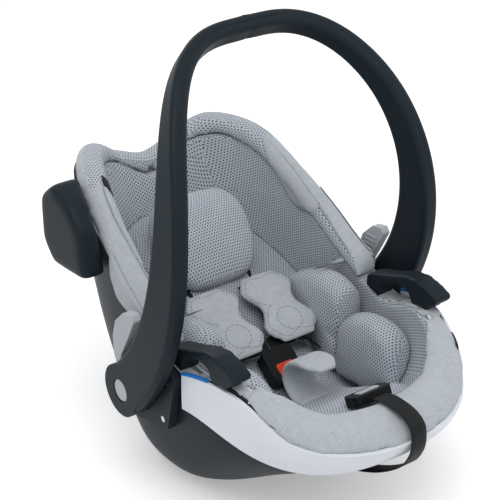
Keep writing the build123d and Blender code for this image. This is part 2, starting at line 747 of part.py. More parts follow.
back_shares = [0.0, 0.06, 0.2, 0.4, 0.6, 0.8, 0.94, 1.0]
back_sections = []
for i, share in enumerate(back_shares):
    along = BACK_PAD_FROM + share * (BACK_PAD_TO - BACK_PAD_FROM)
    plane = slope_plane(0, back_point(along, LAYER_GAP), BACK_ANGLE)
    full = end_share(i, len(back_shares))
    width = PAD_HALF_WIDTH * (0.6 + 0.4 * full)
    back_sections.append(cushion_section(plane, width, PAD_THICKNESS * full))
plate_above = PAD_THICKNESS + LAYER_GAP
plate_plane = face_plane(0, back_point((PLATE_FROM + PLATE_TO) / 2, plate_above), BACK_ANGLE)
with BuildPart() as back_pad:
    loft(back_sections)
    with BuildSketch(plate_plane.offset(-LAYER_GAP)):
        Rectangle(2 * (PLATE_HALF_WIDTH + LAYER_GAP), PLATE_TO - PLATE_FROM + 2 * HEADREST_TRAVEL)
    extrude(amount=PAD_THICKNESS, mode=Mode.SUBTRACT)
save(back_pad.part, "back_pad")


# Bolsters that hold the child's body and thighs
def bolster(line, half_width, height, keep):
    """One bolster standing on the foam, inside the lining, cut where the two bolsters meet."""
    sections = []
    for i, place in enumerate(line):
        before, after = line[max(i - 1, 0)], line[min(i + 1, len(line) - 1)]
        angle = degrees(atan2(after[1] - before[1], after[0] - before[0]))
        full = end_share(i, len(line))
        plane = slope_plane(BOLSTER_INNER_X + half_width, place, angle)
        sections.append(cushion_section(plane, half_width, height * full))
    meeting = Plane.XZ.offset(-BOLSTER_MEETING + (BOLSTER_CLEARANCE if keep == Keep.TOP else 0))
    with BuildPart() as pad:
        loft(sections)
        split(bisect_by=meeting, keep=keep)
        add(over_foam_pads, mode=Mode.INTERSECT)
        add(room, mode=Mode.INTERSECT)
    return pad.part


body_bolster = bolster(BODY_BOLSTER_LINE, BODY_BOLSTER_HALF_WIDTH, BODY_BOLSTER_HEIGHT, Keep.BOTTOM)
save_pair(body_bolster, "body_bolster")
thigh_bolster = bolster(THIGH_BOLSTER_LINE, THIGH_BOLSTER_HALF_WIDTH, THIGH_BOLSTER_HEIGHT, Keep.TOP)
save_pair(thigh_bolster, "thigh_bolster")

# Headrest: a plate that slides up the back pad and carries the head pillow
with BuildPart() as headrest_plate:
    with BuildSketch(plate_plane):
        RectangleRounded(2 * PLATE_HALF_WIDTH, PLATE_TO - PLATE_FROM, PLATE_CORNER)
    extrude(amount=PLATE_THICKNESS)
save(headrest_plate.part, "headrest_plate")

pillow_sections = []
for turn in (172, 155, 125, 90, 55, 25, 8):
    along = 0.5 * (PILLOW_FROM + PILLOW_TO) + 0.5 * (PILLOW_TO - PILLOW_FROM) * cos(radians(turn))
    plane = slope_plane(0, back_point(along, plate_above + PLATE_THICKNESS + LAYER_GAP), BACK_ANGLE)
    full = sin(radians(turn))
    half_width, thickness = PILLOW_HALF_WIDTH * sqrt(full), PILLOW_THICKNESS * full ** 0.7
    pillow_sections.append(cushion_section(plane, half_width, thickness))
save(cushion(pillow_sections), "head_pillow")


# Harness buckle, tongues and straps
def press_button(size, plane, depth, name):
    """A rounded push button standing a little proud of a face, and the pocket it sinks into."""
    floor = PRESS_PROUD - PRESS_HEIGHT - PRESS_TRAVEL - LAYER_GAP
    with BuildPart() as button:
        with BuildSketch(plane.offset(PRESS_PROUD - PRESS_HEIGHT)):
            RectangleRounded(*size, PRESS_ROUND)
        extrude(amount=PRESS_HEIGHT)
    save(button.part, name)
    with BuildPart() as pocket:
        with BuildSketch(plane.offset(floor)):
            RectangleRounded(size[0] + 2 * PRESS_CLEARANCE, size[1] + 2 * PRESS_CLEARANCE, PRESS_ROUND)
        extrude(amount=depth - floor)
    return pocket.part


def along_buckle(up):
    """(Y, Z) of a point on the buckle's middle line."""
    return (
        BUCKLE_CENTRE[0] + up * cos(radians(BUCKLE_TILT)),
        BUCKLE_CENTRE[1] + up * sin(radians(BUCKLE_TILT)),
    )


buckle_face = face_plane(0, along_buckle(BUCKLE_BUTTON_UP), BUCKLE_TILT).offset(BUCKLE_DEPTH / 2)
buckle_pocket = press_button(BUCKLE_BUTTON, buckle_face, BUCKLE_DEPTH, "buckle_button")
with BuildPart() as buckle:
    with BuildSketch(face_plane(0, BUCKLE_CENTRE, BUCKLE_TILT).offset(-BUCKLE_DEPTH / 2)):
        RectangleRounded(BUCKLE_WIDTH, BUCKLE_LENGTH, BUCKLE_CORNER)
    extrude(amount=BUCKLE_DEPTH)
    add(buckle_pocket, mode=Mode.SUBTRACT)
save(buckle.part, "buckle")

tongue_start = BUCKLE_LENGTH / 2 + END_GAP
tongue_end = tongue_start + TONGUE_LENGTH
with BuildPart() as tongue:
    middle = along_buckle((tongue_start + tongue_end) / 2)
    plane = face_plane(TONGUE_FROM_X + TONGUE_WIDTH / 2, middle, BUCKLE_TILT)
    with BuildSketch(plane.offset(-TONGUE_THICKNESS / 2)):
        RectangleRounded(TONGUE_WIDTH, TONGUE_LENGTH, LEVER_ROUND)
    extrude(amount=TONGUE_THICKNESS)
save_pair(tongue.part, "tongue")

strap_plane = side_plane(STRAP_CENTRE_X - WEBBING_WIDTH / 2)
strap_end = along_buckle(tongue_end + END_GAP)
strap_bend = back_point(*STRAP_BEND)
shoulder_line = [strap_end, strap_bend, back_point(*STRAP_SLOT)]
save_pair(strip(shoulder_line, WEBBING, strap_plane, WEBBING_WIDTH), "shoulder_strap")

# Shoulder pads, narrow in the middle and round at both ends
low_lift, high_lift = SHOULDER_PAD_LIFT
low_end, high_end = along_buckle(tongue_start + TONGUE_LENGTH / 3), strap_bend
pad_angle = degrees(atan2(high_end[1] - low_end[1], high_end[0] - low_end[0]))
shoulder_sections = []
for i, share in enumerate(SHOULDER_PAD_WAIST):
    run = i / (len(SHOULDER_PAD_WAIST) - 1)
    lift = low_lift + (high_lift - low_lift) * run
    place = (
        low_end[0] + run * (high_end[0] - low_end[0]) - lift * sin(radians(pad_angle)),
        low_end[1] + run * (high_end[1] - low_end[1]) + lift * cos(radians(pad_angle)),
    )
    full = end_share(i, len(SHOULDER_PAD_WAIST))
    plane = slope_plane(STRAP_CENTRE_X, place, pad_angle)
    shoulder_sections.append(
        cushion_section(plane, SHOULDER_PAD_HALF_WIDTH * share, SHOULDER_PAD_THICKNESS * full)
    )
save_pair(cushion(shoulder_sections), "shoulder_pad")

# Lap straps, from the outer ends of the tongues down beside the hips
lap_y, lap_z = along_buckle((tongue_start + tongue_end) / 2)
lap_line = [(TONGUE_FROM_X + TONGUE_WIDTH + END_GAP, lap_z), LAP_MIDDLE, LAP_END]
lap_plane = Plane.XZ.offset(-lap_y - WEBBING_WIDTH / 2)
save_pair(strip(lap_line, WEBBING, lap_plane, WEBBING_WIDTH), "lap_strap")

# Crotch strap under the buckle, and the folded pad over it
crotch_line = [CROTCH_STRAP_FOOT, along_buckle(-BUCKLE_LENGTH / 2 - END_GAP)]
save(strip(crotch_line, WEBBING, side_plane(-WEBBING_WIDTH / 2), WEBBING_WIDTH), "crotch_strap")
crotch_plane = side_plane(-CROTCH_PAD_WIDTH / 2)
save(strip(CROTCH_PAD_LINE, CROTCH_PAD_THICKNESS, crotch_plane, CROTCH_PAD_WIDTH, Spline), "crotch_pad")

# Harness adjuster at the front of the seat pad, and its pull strap over the foot end
adjuster_base = face_plane(
    0, (ADJUSTER_PLACE, interpolate(SEAT_LINE, ADJUSTER_PLACE) + ADJUSTER_LIFT), -ADJUSTER_TILT
)
adjuster_face = adjuster_base.offset(ADJUSTER_DEPTH)
adjuster_pocket = press_button(ADJUSTER_BUTTON, adjuster_face, ADJUSTER_DEPTH, "adjuster_button")
with BuildPart() as adjuster_housing:
    with BuildSketch(adjuster_base):
        RectangleRounded(ADJUSTER_WIDTH, ADJUSTER_LENGTH, BUCKLE_CORNER)
    extrude(amount=ADJUSTER_DEPTH)
    add(adjuster_pocket, mode=Mode.SUBTRACT)
save(adjuster_housing.part, "adjuster_housing")
strap_plane = side_plane(-ADJUSTER_STRAP_WIDTH / 2)
save(strip(ADJUSTER_STRAP_LINE, WEBBING, strap_plane, ADJUSTER_STRAP_WIDTH, Spline), "adjuster_strap")
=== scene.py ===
# %% [markdown]
# # An infant car seat, dressed over its CAD frame
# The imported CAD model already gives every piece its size, its place and its joint. This lesson adds what
# the eye meets: grained plastic, knitted air mesh, woven cloth, webbing and stitching. Everything is in
# metres and in the same frame as the CAD, so nothing has to be fitted afterwards.

# %% Load the frame
import json
from math import atan2, cos, pi, radians, sin

import bmesh
import bpy
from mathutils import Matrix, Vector
from mathutils.bvhtree import BVHTree


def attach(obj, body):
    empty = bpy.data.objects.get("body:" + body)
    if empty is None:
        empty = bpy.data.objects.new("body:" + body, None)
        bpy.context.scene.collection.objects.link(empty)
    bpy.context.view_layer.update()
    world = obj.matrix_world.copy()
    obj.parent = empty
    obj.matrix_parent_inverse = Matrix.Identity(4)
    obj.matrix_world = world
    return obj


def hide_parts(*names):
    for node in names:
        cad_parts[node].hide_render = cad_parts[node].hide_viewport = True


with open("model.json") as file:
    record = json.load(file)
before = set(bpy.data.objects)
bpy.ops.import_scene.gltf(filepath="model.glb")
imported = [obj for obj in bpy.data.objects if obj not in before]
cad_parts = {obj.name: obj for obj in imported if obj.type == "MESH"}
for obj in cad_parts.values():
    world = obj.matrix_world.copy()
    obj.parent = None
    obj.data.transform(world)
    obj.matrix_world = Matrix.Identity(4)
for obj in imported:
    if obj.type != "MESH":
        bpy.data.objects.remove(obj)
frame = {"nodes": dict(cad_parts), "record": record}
nodes = frame["nodes"]
scene = bpy.context.scene
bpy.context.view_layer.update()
MM = 0.001

# %% [markdown]
# ## Camera
# The seat is seen from the front left and from above, with a long lens that keeps the two handle arms
# nearly parallel. Aiming a camera is easiest with `to_track_quat`: it turns the camera's own -Z axis
# towards the point that should lie in the middle of the picture.

# %% Place the camera
CAMERA_PLACE = Vector((-1103.65, -1480.63, 1265.57)) * MM
CAMERA_TARGET = Vector((0.0, 10.87, 299.70)) * MM

lens = bpy.data.cameras.new("studio_camera")
lens.lens = 108.0
lens.sensor_width = 36.0
camera = bpy.data.objects.new("studio_camera", lens)
camera.location = CAMERA_PLACE
camera.rotation_euler = (CAMERA_TARGET - CAMERA_PLACE).to_track_quat("-Z", "Y").to_euler()
scene.collection.objects.link(camera)
scene.camera = camera
scene.view_settings.view_transform = "Standard"
print("camera stands", round((CAMERA_TARGET - CAMERA_PLACE).length, 2), "m away")

# %% [markdown]
# ## Colours and nodes
# A colour picked from a screen is an sRGB value, while shaders add up light in linear values, so each hex
# colour passes through one conversion. Materials are built from nodes in code. One small function adds a
# node with its settings and links: a node given as an input is linked by its first output in use. The same
# feeding of inputs wires a finished pattern to the shader, so all the wiring reads alike.


# %% Colour and node helpers
def linear(hex_colour):
    """Turns #RRGGBB into the linear RGBA that a shader works with."""
    channels = [int(hex_colour[at:at + 2], 16) / 255 for at in (1, 3, 5)]
    return [c / 12.92 if c <= 0.04045 else ((c + 0.055) / 1.055) ** 2.4 for c in channels] + [1.0]


def feed(tree, node, inputs):
    """Sets or links the inputs of a node, by name or number."""
    for name, value in inputs.items():
        if isinstance(value, bpy.types.Node):
            value = next(output for output in value.outputs if output.enabled)
        if isinstance(value, bpy.types.NodeSocket):
            tree.links.new(value, node.inputs[name])
        else:
            node.inputs[name].default_value = value


def add(tree, kind, inputs, **settings):
    """Adds a shader node of a kind, such as Math or Bump, with its properties and its inputs."""
    node = tree.nodes.new("ShaderNode" + kind)
    for name, value in settings.items():
        setattr(node, name, value)
    feed(tree, node, inputs)
    return node


def start_material(name, roughness, **sockets):
    """A new material with its node tree, its shader set to what is the same all over, and its coordinates."""
    material = bpy.data.materials.new(name)
    material.use_nodes = True
    shader = material.node_tree.nodes["Principled BSDF"]
    shader.inputs["Roughness"].default_value = roughness
    for socket, value in sockets.items():
        shader.inputs[socket.replace("_", " ")].default_value = value
    return material, material.node_tree, shader, add(material.node_tree, "TexCoord", {}).outputs


print("mid grey in linear light:", [round(c, 3) for c in linear("#808080")])

# %% [markdown]
# ## Moulded plastics
# The shell, handle and levers are injection-moulded polypropylene with a spark-eroded grain that the steel
# tool leaves on them. The grain scatters highlights, and a painted highlight turns the edges paler. Real
# grain is about 0.4 mm, too fine to show at this distance, so it is drawn at 2 mm. The mask of the painted
# highlight compares the true normal with one that a Bevel node has rounded: they differ only near an edge.

# %% Make a moulded plastic
GRAIN_WIDTH = 2.0 * MM
GRAIN_DEPTH = 0.3 * MM
CLOUD_WIDTH = 90.0 * MM
CLOUD_LIFT = 1.18
HIGHLIGHT_WIDTH = 2.5 * MM
HIGHLIGHT_FROM, HIGHLIGHT_TO = 0.995, 0.90
HIGHLIGHT_SHARE = 0.55
SMOOTHER, ROUGHER = 0.06, 0.08


def moulded_plastic(name, colour, highlit, roughness, grain):
    """Plastic with soft colour clouds, a moulded grain and edges made paler by a painted highlight."""
    material, tree, shader, where = start_material(name, roughness, IOR=1.49, Specular_IOR_Level=0.12)
    clouds = add(tree, "TexNoise", {"Vector": where["Object"], "Scale": 1 / CLOUD_WIDTH, "Detail": 4.0})
    bumps = add(tree, "TexNoise", {"Vector": where["Object"], "Scale": 1 / GRAIN_WIDTH, "Detail": 2.0})
    lifted = [min(1.0, c * CLOUD_LIFT) for c in linear(colour)[:3]] + [1.0]
    tint = add(tree, "Mix", {0: clouds, 6: linear(colour), 7: lifted}, data_type="RGBA")
    true_normal = add(tree, "NewGeometry", {}).outputs["Normal"]
    # Painted highlight: near an edge the Bevel normal parts from the true one, and the colour turns paler.
    rounded = add(tree, "Bevel", {"Radius": HIGHLIGHT_WIDTH}, samples=4)
    agree = add(tree, "VectorMath", {0: true_normal, 1: rounded}, operation="DOT_PRODUCT")
    edge = add(
        tree, "MapRange",
        {"Value": agree, "From Min": HIGHLIGHT_FROM, "From Max": HIGHLIGHT_TO, "To Min": 0.0, "To Max": HIGHLIGHT_SHARE},
    )
    paint = add(tree, "Mix", {0: edge, 6: tint, 7: linear(highlit)}, data_type="RGBA")
    sheen = add(
        tree, "MapRange",
        {"Value": bumps, "To Min": roughness - SMOOTHER, "To Max": roughness + ROUGHER},
    )
    relief = add(tree, "Bump", {"Height": bumps, "Strength": grain, "Distance": GRAIN_DEPTH})
    feed(tree, shader, {"Base Color": paint, "Roughness": sheen, "Normal": relief})
    return material


print("moulded grain:", round(GRAIN_WIDTH / MM, 1), "mm, worn edges:", round(HIGHLIGHT_WIDTH / MM, 1), "mm")

# %% [markdown]
# ## The plastics of the seat
# Seven mouldings differ only in colour, gloss and depth of grain: the shell is coarse and dull, so that it
# hides scratches, and the parts that are pressed are smoother. One function with five values is enough.

# %% Mix the plastics
# The second colour of each plastic is its painted edge highlight.
finishes = {
    # Dark, slightly blue grey with a broad dull highlight
    "shell_plastic": moulded_plastic("polypropylene_grained_charcoal", "#172026", "#2C343A", 0.46, 0.22),
    # Cool white with a soft sheen, cleaner than the grained shell
    "band_white": moulded_plastic("abs_painted_satin_white", "#D0D4DB", "#E4E7EC", 0.34, 0.05),
    # Pale grey, matt, for the part a thumb pulls
    "lever_grey": moulded_plastic("polypropylene_matt_pale_grey", "#A3A9AF", "#C2C6CA", 0.50, 0.18),
    # Pale metallic-looking grey with a tighter highlight than the shell round it
    "button_silver": moulded_plastic("abs_painted_silver_grey", "#A9AEB3", "#D3D6D9", 0.32, 0.06),
    # Clear signal blue that marks the belt's way
    "marker_blue": moulded_plastic("polypropylene_belt_blue", "#1565B5", "#3F86CC", 0.42, 0.10),
    # Bright warning red, smooth enough to shine
    "button_red": moulded_plastic("abs_glossy_orange_red", "#C8371E", "#E06A4A", 0.30, 0.05),
    # Nearly black acetal, smoother than the shell
    "buckle_black": moulded_plastic("acetal_moulded_black", "#101214", "#2A2D30", 0.34, 0.08),
}
print("plastics:", sorted(finishes))

# %% [markdown]
# ## Foam and zinc
# Two finishes hide inside the seat. The energy-absorbing liner is expanded polystyrene: beads swollen in a
# mould until they press flat against each other, so a Voronoi pattern gives its cells. Pins and screws are
# zinc-plated steel, a metal with a bright, slightly cloudy skin, which a noise gives in colour and polish.

# %% Foam and steel
BEAD_WIDTH = 4.0 * MM
BEAD_DEPTH = 0.5 * MM
BLOOM_WIDTH = 3.0 * MM

# Off-white and dull, with a fine cell pattern
foam, tree, shader, where = start_material("polystyrene_moulded_beads", 0.85)
beads = add(tree, "TexVoronoi", {"Vector": where["Object"], "Scale": 1 / BEAD_WIDTH})
bead_tint = add(tree, "Mix", {0: beads, 6: linear("#E9ECEE"), 7: linear("#C4C9CE")}, data_type="RGBA")
bead_relief = add(tree, "Bump", {"Height": beads, "Strength": 0.4, "Distance": BEAD_DEPTH}, invert=True)
feed(tree, shader, {"Base Color": bead_tint, "Normal": bead_relief})
finishes["foam"] = foam

# Bright bluish metal with patches of duller bloom
steel, tree, shader, where = start_material("steel_zinc_plated", 0.30, Metallic=1.0)
bloom = add(tree, "TexNoise", {"Vector": where["Object"], "Scale": 1 / BLOOM_WIDTH, "Detail": 3.0})
zinc = add(tree, "Mix", {0: bloom, 6: linear("#AEB3B8"), 7: linear("#D6DADD")}, data_type="RGBA")
polish = add(tree, "MapRange", {"Value": bloom, "To Min": 0.22, "To Max": 0.42})
feed(tree, shader, {"Base Color": zinc, "Roughness": polish})
finishes["steel"] = steel
print("inner finishes:", foam.name, steel.name)

# %% [markdown]
# ## Air mesh
# The child lies on spacer knit: two grey net faces held a few millimetres apart by springy threads. The eye
# sees a pale net with small dark holes in staggered rows. The holes are drawn from UV coordinates in metres:
# divided by the pitch they count cells, every second row is shifted by half a cell, and the distance to
# the middle of the cell gives a round hole. Real holes sit about 3 mm apart and are drawn a little wider.

# %% Knitted air mesh
HOLE_PITCH = (4.6 * MM, 3.7 * MM)
HOLE_RADIUS = 1.1 * MM
HOLE_EDGE = 0.6 * MM
HOLE_DEPTH = 0.8 * MM
SHADE_WIDTH = 35.0 * MM

# Soft grey with a faint sheen, dotted with dark holes that sink in
mesh_fabric, tree, shader, where = start_material(
    "polyester_spacer_knit_grey", 0.92, Specular_IOR_Level=0.2, Sheen_Weight=0.12, Sheen_Roughness=0.5,
)
counted = add(tree, "VectorMath", {0: where["UV"], 1: (*HOLE_PITCH, 1.0)}, operation="DIVIDE")
cell = add(tree, "SeparateXYZ", {"Vector": counted}).outputs
whole_row = add(tree, "Math", {0: cell["Y"]}, operation="FLOOR")
odd_row = add(tree, "Math", {0: whole_row, 1: 2.0}, operation="FLOORED_MODULO")
column = add(tree, "Math", {0: odd_row, 1: 0.5, 2: cell["X"]}, operation="MULTIPLY_ADD")
staggered = add(tree, "CombineXYZ", {"X": column, "Y": cell["Y"]})
in_cell = add(tree, "VectorMath", {0: staggered}, operation="FRACTION")
off_middle = add(tree, "VectorMath", {0: in_cell, 1: (0.5, 0.5, 0.0)}, operation="SUBTRACT")
in_metres = add(tree, "VectorMath", {0: off_middle, 1: (*HOLE_PITCH, 0.0)}, operation="MULTIPLY")
from_middle = add(tree, "VectorMath", {0: in_metres}, operation="LENGTH")
hole = add(
    tree, "MapRange",
    {"Value": from_middle, "From Min": HOLE_RADIUS - HOLE_EDGE, "From Max": HOLE_RADIUS + HOLE_EDGE,
     "To Min": 1.0, "To Max": 0.0}, interpolation_type="SMOOTHSTEP",
)
shade = add(tree, "TexNoise", {"Vector": where["Object"], "Scale": 1 / SHADE_WIDTH, "Detail": 3.0})
net = add(tree, "Mix", {0: shade, 6: linear("#ABB2BB"), 7: linear("#BAC0C8")}, data_type="RGBA")
knit = add(tree, "Mix", {0: hole, 6: net, 7: linear("#4A4F5A")}, data_type="RGBA")
sunk = add(tree, "Bump", {"Height": hole, "Strength": 0.6, "Distance": HOLE_DEPTH}, invert=True)
feed(tree, shader, {"Base Color": knit, "Normal": sunk})
finishes["mesh_fabric"] = mesh_fabric
print("holes per square decimetre:", round(0.01 / (HOLE_PITCH[0] * HOLE_PITCH[1])))

# %% [markdown]
# ## Plain weave
# The rim, the wings and the shoulder pads are covered in a plain-woven polyester of mixed light and dark
# yarns. Its threads are about 0.5 mm apart, too fine to show here, so they are drawn at 1.8 mm. Two noises
# stretched along the warp and along the weft give the mottled look of mixed yarn.

# %% Plain-woven cloth
THREAD_PITCH = 1.8 * MM
THREAD_DEPTH = 0.3 * MM
YARN_LENGTH = 22.0 * MM
MOTTLE_FROM, MOTTLE_TO = 0.7, 1.3


def woven_cloth(name, dark, pale):
    """Plain weave with mottled yarns running both ways."""
    material, tree, shader, where = start_material(
        name, 0.9, Specular_IOR_Level=0.2, Sheen_Weight=0.15, Sheen_Roughness=0.45,
    )
    yarns = []
    for scale in ((1 / THREAD_PITCH, 1 / YARN_LENGTH, 1.0), (1 / YARN_LENGTH, 1 / THREAD_PITCH, 1.0)):
        stretched = add(tree, "VectorMath", {0: where["UV"], 1: scale}, operation="MULTIPLY")
        yarns.append(add(tree, "TexNoise", {"Vector": stretched, "Scale": 1.0, "Detail": 2.0}))
    mixed = add(tree, "Math", {0: yarns[0], 1: yarns[1]}, operation="ADD")
    mottled = add(tree, "MapRange", {"Value": mixed, "From Min": MOTTLE_FROM, "From Max": MOTTLE_TO})
    paint = add(tree, "Mix", {0: mottled, 6: linear(dark), 7: linear(pale)}, data_type="RGBA")
    turns = add(tree, "VectorMath", {0: where["UV"], 1: (2 * pi / THREAD_PITCH,) * 3}, operation="MULTIPLY")
    waves = add(tree, "VectorMath", {0: turns}, operation="SINE")
    wave = add(tree, "SeparateXYZ", {"Vector": waves}).outputs
    weave = add(tree, "Math", {0: wave["X"], 1: wave["Y"]}, operation="MULTIPLY")
    relief = add(tree, "Bump", {"Height": weave, "Strength": 0.25, "Distance": THREAD_DEPTH})
    feed(tree, shader, {"Base Color": paint, "Normal": relief})
    return material


# Pale mottled grey, quite matt
finishes["plain_fabric"] = woven_cloth("polyester_plain_weave_grey", "#A3A9AF", "#B4BABF")
# Dense black ribbon for the sewn tabs
label_cloth = woven_cloth("polyester_woven_label_black", "#141618", "#232629")
# Darker grey strip that outlines an edge
edge_cloth = woven_cloth("polyester_bias_binding_grey", "#868D94", "#A0A7AD")
# Thread a shade darker than the cloth, so that the stitches can be seen
thread = woven_cloth("polyester_sewing_thread_grey", "#80878E", "#959CA3")
print("woven finishes:", finishes["plain_fabric"].name, label_cloth.name, edge_cloth.name, thread.name)

# %% [markdown]
# ## Webbing
# Harness webbing is woven flat from thick polyester cords. Lengthwise ribs catch the light as fine lines and
# the weft crosses them in small steps. Here U runs across the strap and V along it, both in metres, so two
# sine waves give ribs and steps. Real ribs are about 1.5 mm apart and are drawn at 3.4 mm, so that they show.

# %% Harness webbing
RIB_PITCH = 3.4 * MM
RIB_DEPTH = 0.4 * MM
WEFT_PITCH = 2.4 * MM
WEFT_SHARE = 0.4

# Black with a faint lengthwise shine
webbing, tree, shader, where = start_material(
    "polyester_harness_webbing_black", 0.55, Specular_IOR_Level=0.15,
)
turns = add(
    tree, "VectorMath", {0: where["UV"], 1: (2 * pi / RIB_PITCH, 2 * pi / WEFT_PITCH, 0.0)},
    operation="MULTIPLY",
)
waves = add(tree, "VectorMath", {0: turns}, operation="SINE")
wave = add(tree, "SeparateXYZ", {"Vector": waves}).outputs
ribs = add(tree, "Math", {0: wave["Y"], 1: WEFT_SHARE, 2: wave["X"]}, operation="MULTIPLY_ADD")
# Painted highlight: the tops of the ribs and weft steps are coloured paler than the grooves between them.
lit = add(tree, "MapRange", {"Value": ribs, "From Min": -1 - WEFT_SHARE, "From Max": 1 + WEFT_SHARE})
cords = add(tree, "Mix", {0: lit, 6: linear("#0D0F11"), 7: linear("#1C1F22")}, data_type="RGBA")
corded = add(tree, "Bump", {"Height": ribs, "Strength": 0.35, "Distance": RIB_DEPTH})
feed(tree, shader, {"Base Color": cords, "Normal": corded})
finishes["webbing"] = webbing
print("webbing ribs across a 30 mm strap:", round(30 * MM / RIB_PITCH))

# %% [markdown]
# ## Dress the rigid nodes
# Most rigid pieces already have their true shape in the CAD, so they only need a finish. The record says
# which material slot each node uses, and the slot's name is the key of the finish.

# %% Give each CAD node its finish
slot_of = {part["node"]: part["material_slot"] for part in frame["record"]["subparts"]}
for name, piece in nodes.items():
    for slot in piece.material_slots:
        slot.material = finishes[slot_of[name]]
print("finished nodes:", len(slot_of))

# %% [markdown]
# ## Paper floor
# A product picture is taken on white paper. The floor is a wide paper disc that keeps the seat's shadow.
# The Light Path node lifts the paper only for rays that come from the eye or from a mirror-like surface,
# so the background turns white without putting more light on the seat.


# %% Roll out the paper
def mesh_piece(name, points, faces, material):
    """A smooth mesh object from its points and faces."""
    data = bpy.data.meshes.new(name)
    data.from_pydata(points, [], faces)
    data.polygons.foreach_set("use_smooth", [True] * len(faces))
    data.materials.append(material)
    piece = bpy.data.objects.new(name, data)
    scene.collection.objects.link(piece)
    return piece


def seen_directly(tree):
    """1 for rays from the eye, a glossy bounce or through glass, and 0 for light that falls on things."""
    rays = add(tree, "LightPath", {}).outputs
    mirrored = add(
        tree, "Math", {0: rays["Is Glossy Ray"], 1: rays["Is Transmission Ray"]},
        operation="MAXIMUM",
    )
    return add(tree, "Math", {0: rays["Is Camera Ray"], 1: mirrored}, operation="MAXIMUM")


FLOOR_RADIUS = 9.0
FLOOR_SIDES = 72
FLOOR_Z = -0.2 * MM
FLOOR_LIFT = 0.30
FIBRE_WIDTH = 60.0 * MM

# Nearly white and quite matt, with faint clouds of pulp
paper, tree, shader, where = start_material("paper_uncoated_white", 0.95, Specular_IOR_Level=0.1)
fibres = add(tree, "TexNoise", {"Vector": where["Object"], "Scale": 1 / FIBRE_WIDTH, "Detail": 4.0})
pulp = add(tree, "Mix", {0: fibres, 6: linear("#F1F2F4"), 7: linear("#F6F6F7")}, data_type="RGBA")
feed(tree, shader, {"Base Color": pulp})
lift = add(tree, "Math", {0: seen_directly(tree), 1: FLOOR_LIFT}, operation="MULTIPLY")
glow = add(tree, "Emission", {"Strength": lift})
both = add(tree, "AddShader", {0: shader, 1: glow})
feed(tree, tree.nodes["Material Output"], {"Surface": both})

rim = [radians(360.0 / FLOOR_SIDES * step) for step in range(FLOOR_SIDES)]
disc = [(FLOOR_RADIUS * cos(a), FLOOR_RADIUS * sin(a), FLOOR_Z) for a in rim]
floor = mesh_piece("paper_floor", disc, [range(FLOOR_SIDES)], paper)
print("paper floor:", 2 * FLOOR_RADIUS, "m wide")

# %% [markdown]
# ## Studio light
# Large soft lamps give broad highlights and soft shadows. A white surround fills the shadows: it is seen at
# full white but lights the seat less, by the same Light Path trick as the paper. Three square area lamps
# stand above, to the right and behind, and all of them face the middle of the seat.

# %% Hang the lamps
AMBIENT = 0.68

surround = bpy.data.worlds.new("studio_surround")
surround.use_nodes = True
scene.world = surround
tree = surround.node_tree
level = add(tree, "MapRange", {"Value": seen_directly(tree), "To Min": AMBIENT, "To Max": 1.0})
feed(tree, tree.nodes["Background"], {"Strength": level, "Color": (1.0, 1.0, 1.0, 1.0)})


def softbox(name, place, size, power):
    """A square area lamp that faces the middle of the seat."""
    lamp = bpy.data.lights.new(name, "AREA")
    lamp.size = size
    lamp.energy = power
    stand = bpy.data.objects.new(name, lamp)
    stand.location = place
    stand.rotation_euler = (CAMERA_TARGET - Vector(place)).to_track_quat("-Z", "Y").to_euler()
    scene.collection.objects.link(stand)


softbox("softbox_above", (-0.7, -0.9, 2.3), 1.6, 24.0)
softbox("softbox_right", (1.9, -0.7, 1.3), 1.4, 7.0)
softbox("softbox_behind", (0.4, 2.0, 1.7), 1.2, 8.0)
print("lamps:", len(bpy.data.lights))

# %% [markdown]
# ## Soft copies
# Pads, bolsters and rim covers are sewn shells filled with wadding. Their CAD solids give the place and the
# volume, but their faces are long and uneven, and cloth needs small even quads to bend. A voxel remesh makes
# those, and a few relaxing steps take the corners off, so each shell starts a little small.

# %% Copy a soft solid as even quads
WELD = 0.01 * MM


def soft_copy(node, voxel, relax):
    """A remeshed and relaxed copy of a soft CAD solid."""
    piece = bpy.data.objects.new(node + "_sewn", nodes[node].data.copy())
    scene.collection.objects.link(piece)
    welded = bmesh.new()
    welded.from_mesh(piece.data)
    bmesh.ops.remove_doubles(welded, verts=welded.verts, dist=WELD)
    welded.to_mesh(piece.data)
    welded.free()
    quads = piece.modifiers.new("even_quads", "REMESH")
    quads.mode = "VOXEL"
    quads.voxel_size = voxel
    relaxed = piece.modifiers.new("relaxed", "SMOOTH")
    relaxed.factor = 0.5
    relaxed.iterations = relax
    even = bpy.data.meshes.new_from_object(piece.evaluated_get(bpy.context.evaluated_depsgraph_get()))
    piece.modifiers.clear()
    piece.data = even
    even.polygons.foreach_set("use_smooth", [True] * len(even.polygons))
    return piece


print("soft solids are copied as even quads")

# %% [markdown]
# ## The list of pads
# Each pad has the body that it rides on, its voxel size, its relaxing steps, the way that its panel faces
# and its rows of cloth run, how far it may swell, and how full it is. Small pads get finer voxels.

# %% Copy all the pads
PAD_VOXEL = 5.0 * MM
FINE_VOXEL = 3.6 * MM
RIM_VOXEL = 6.0 * MM
BACK_ANGLE = radians(30.0)
UP_BACK = Vector((0.0, cos(BACK_ANGLE), sin(BACK_ANGLE)))
OFF_BACK = Vector((0.0, -sin(BACK_ANGLE), cos(BACK_ANGLE)))
UP = Vector((0.0, 0.0, 1.0))
RIGHT = Vector((1.0, 0.0, 0.0))
AHEAD = Vector((0.0, 1.0, 0.0))
SIDES = (("left", -1.0), ("right", 1.0))

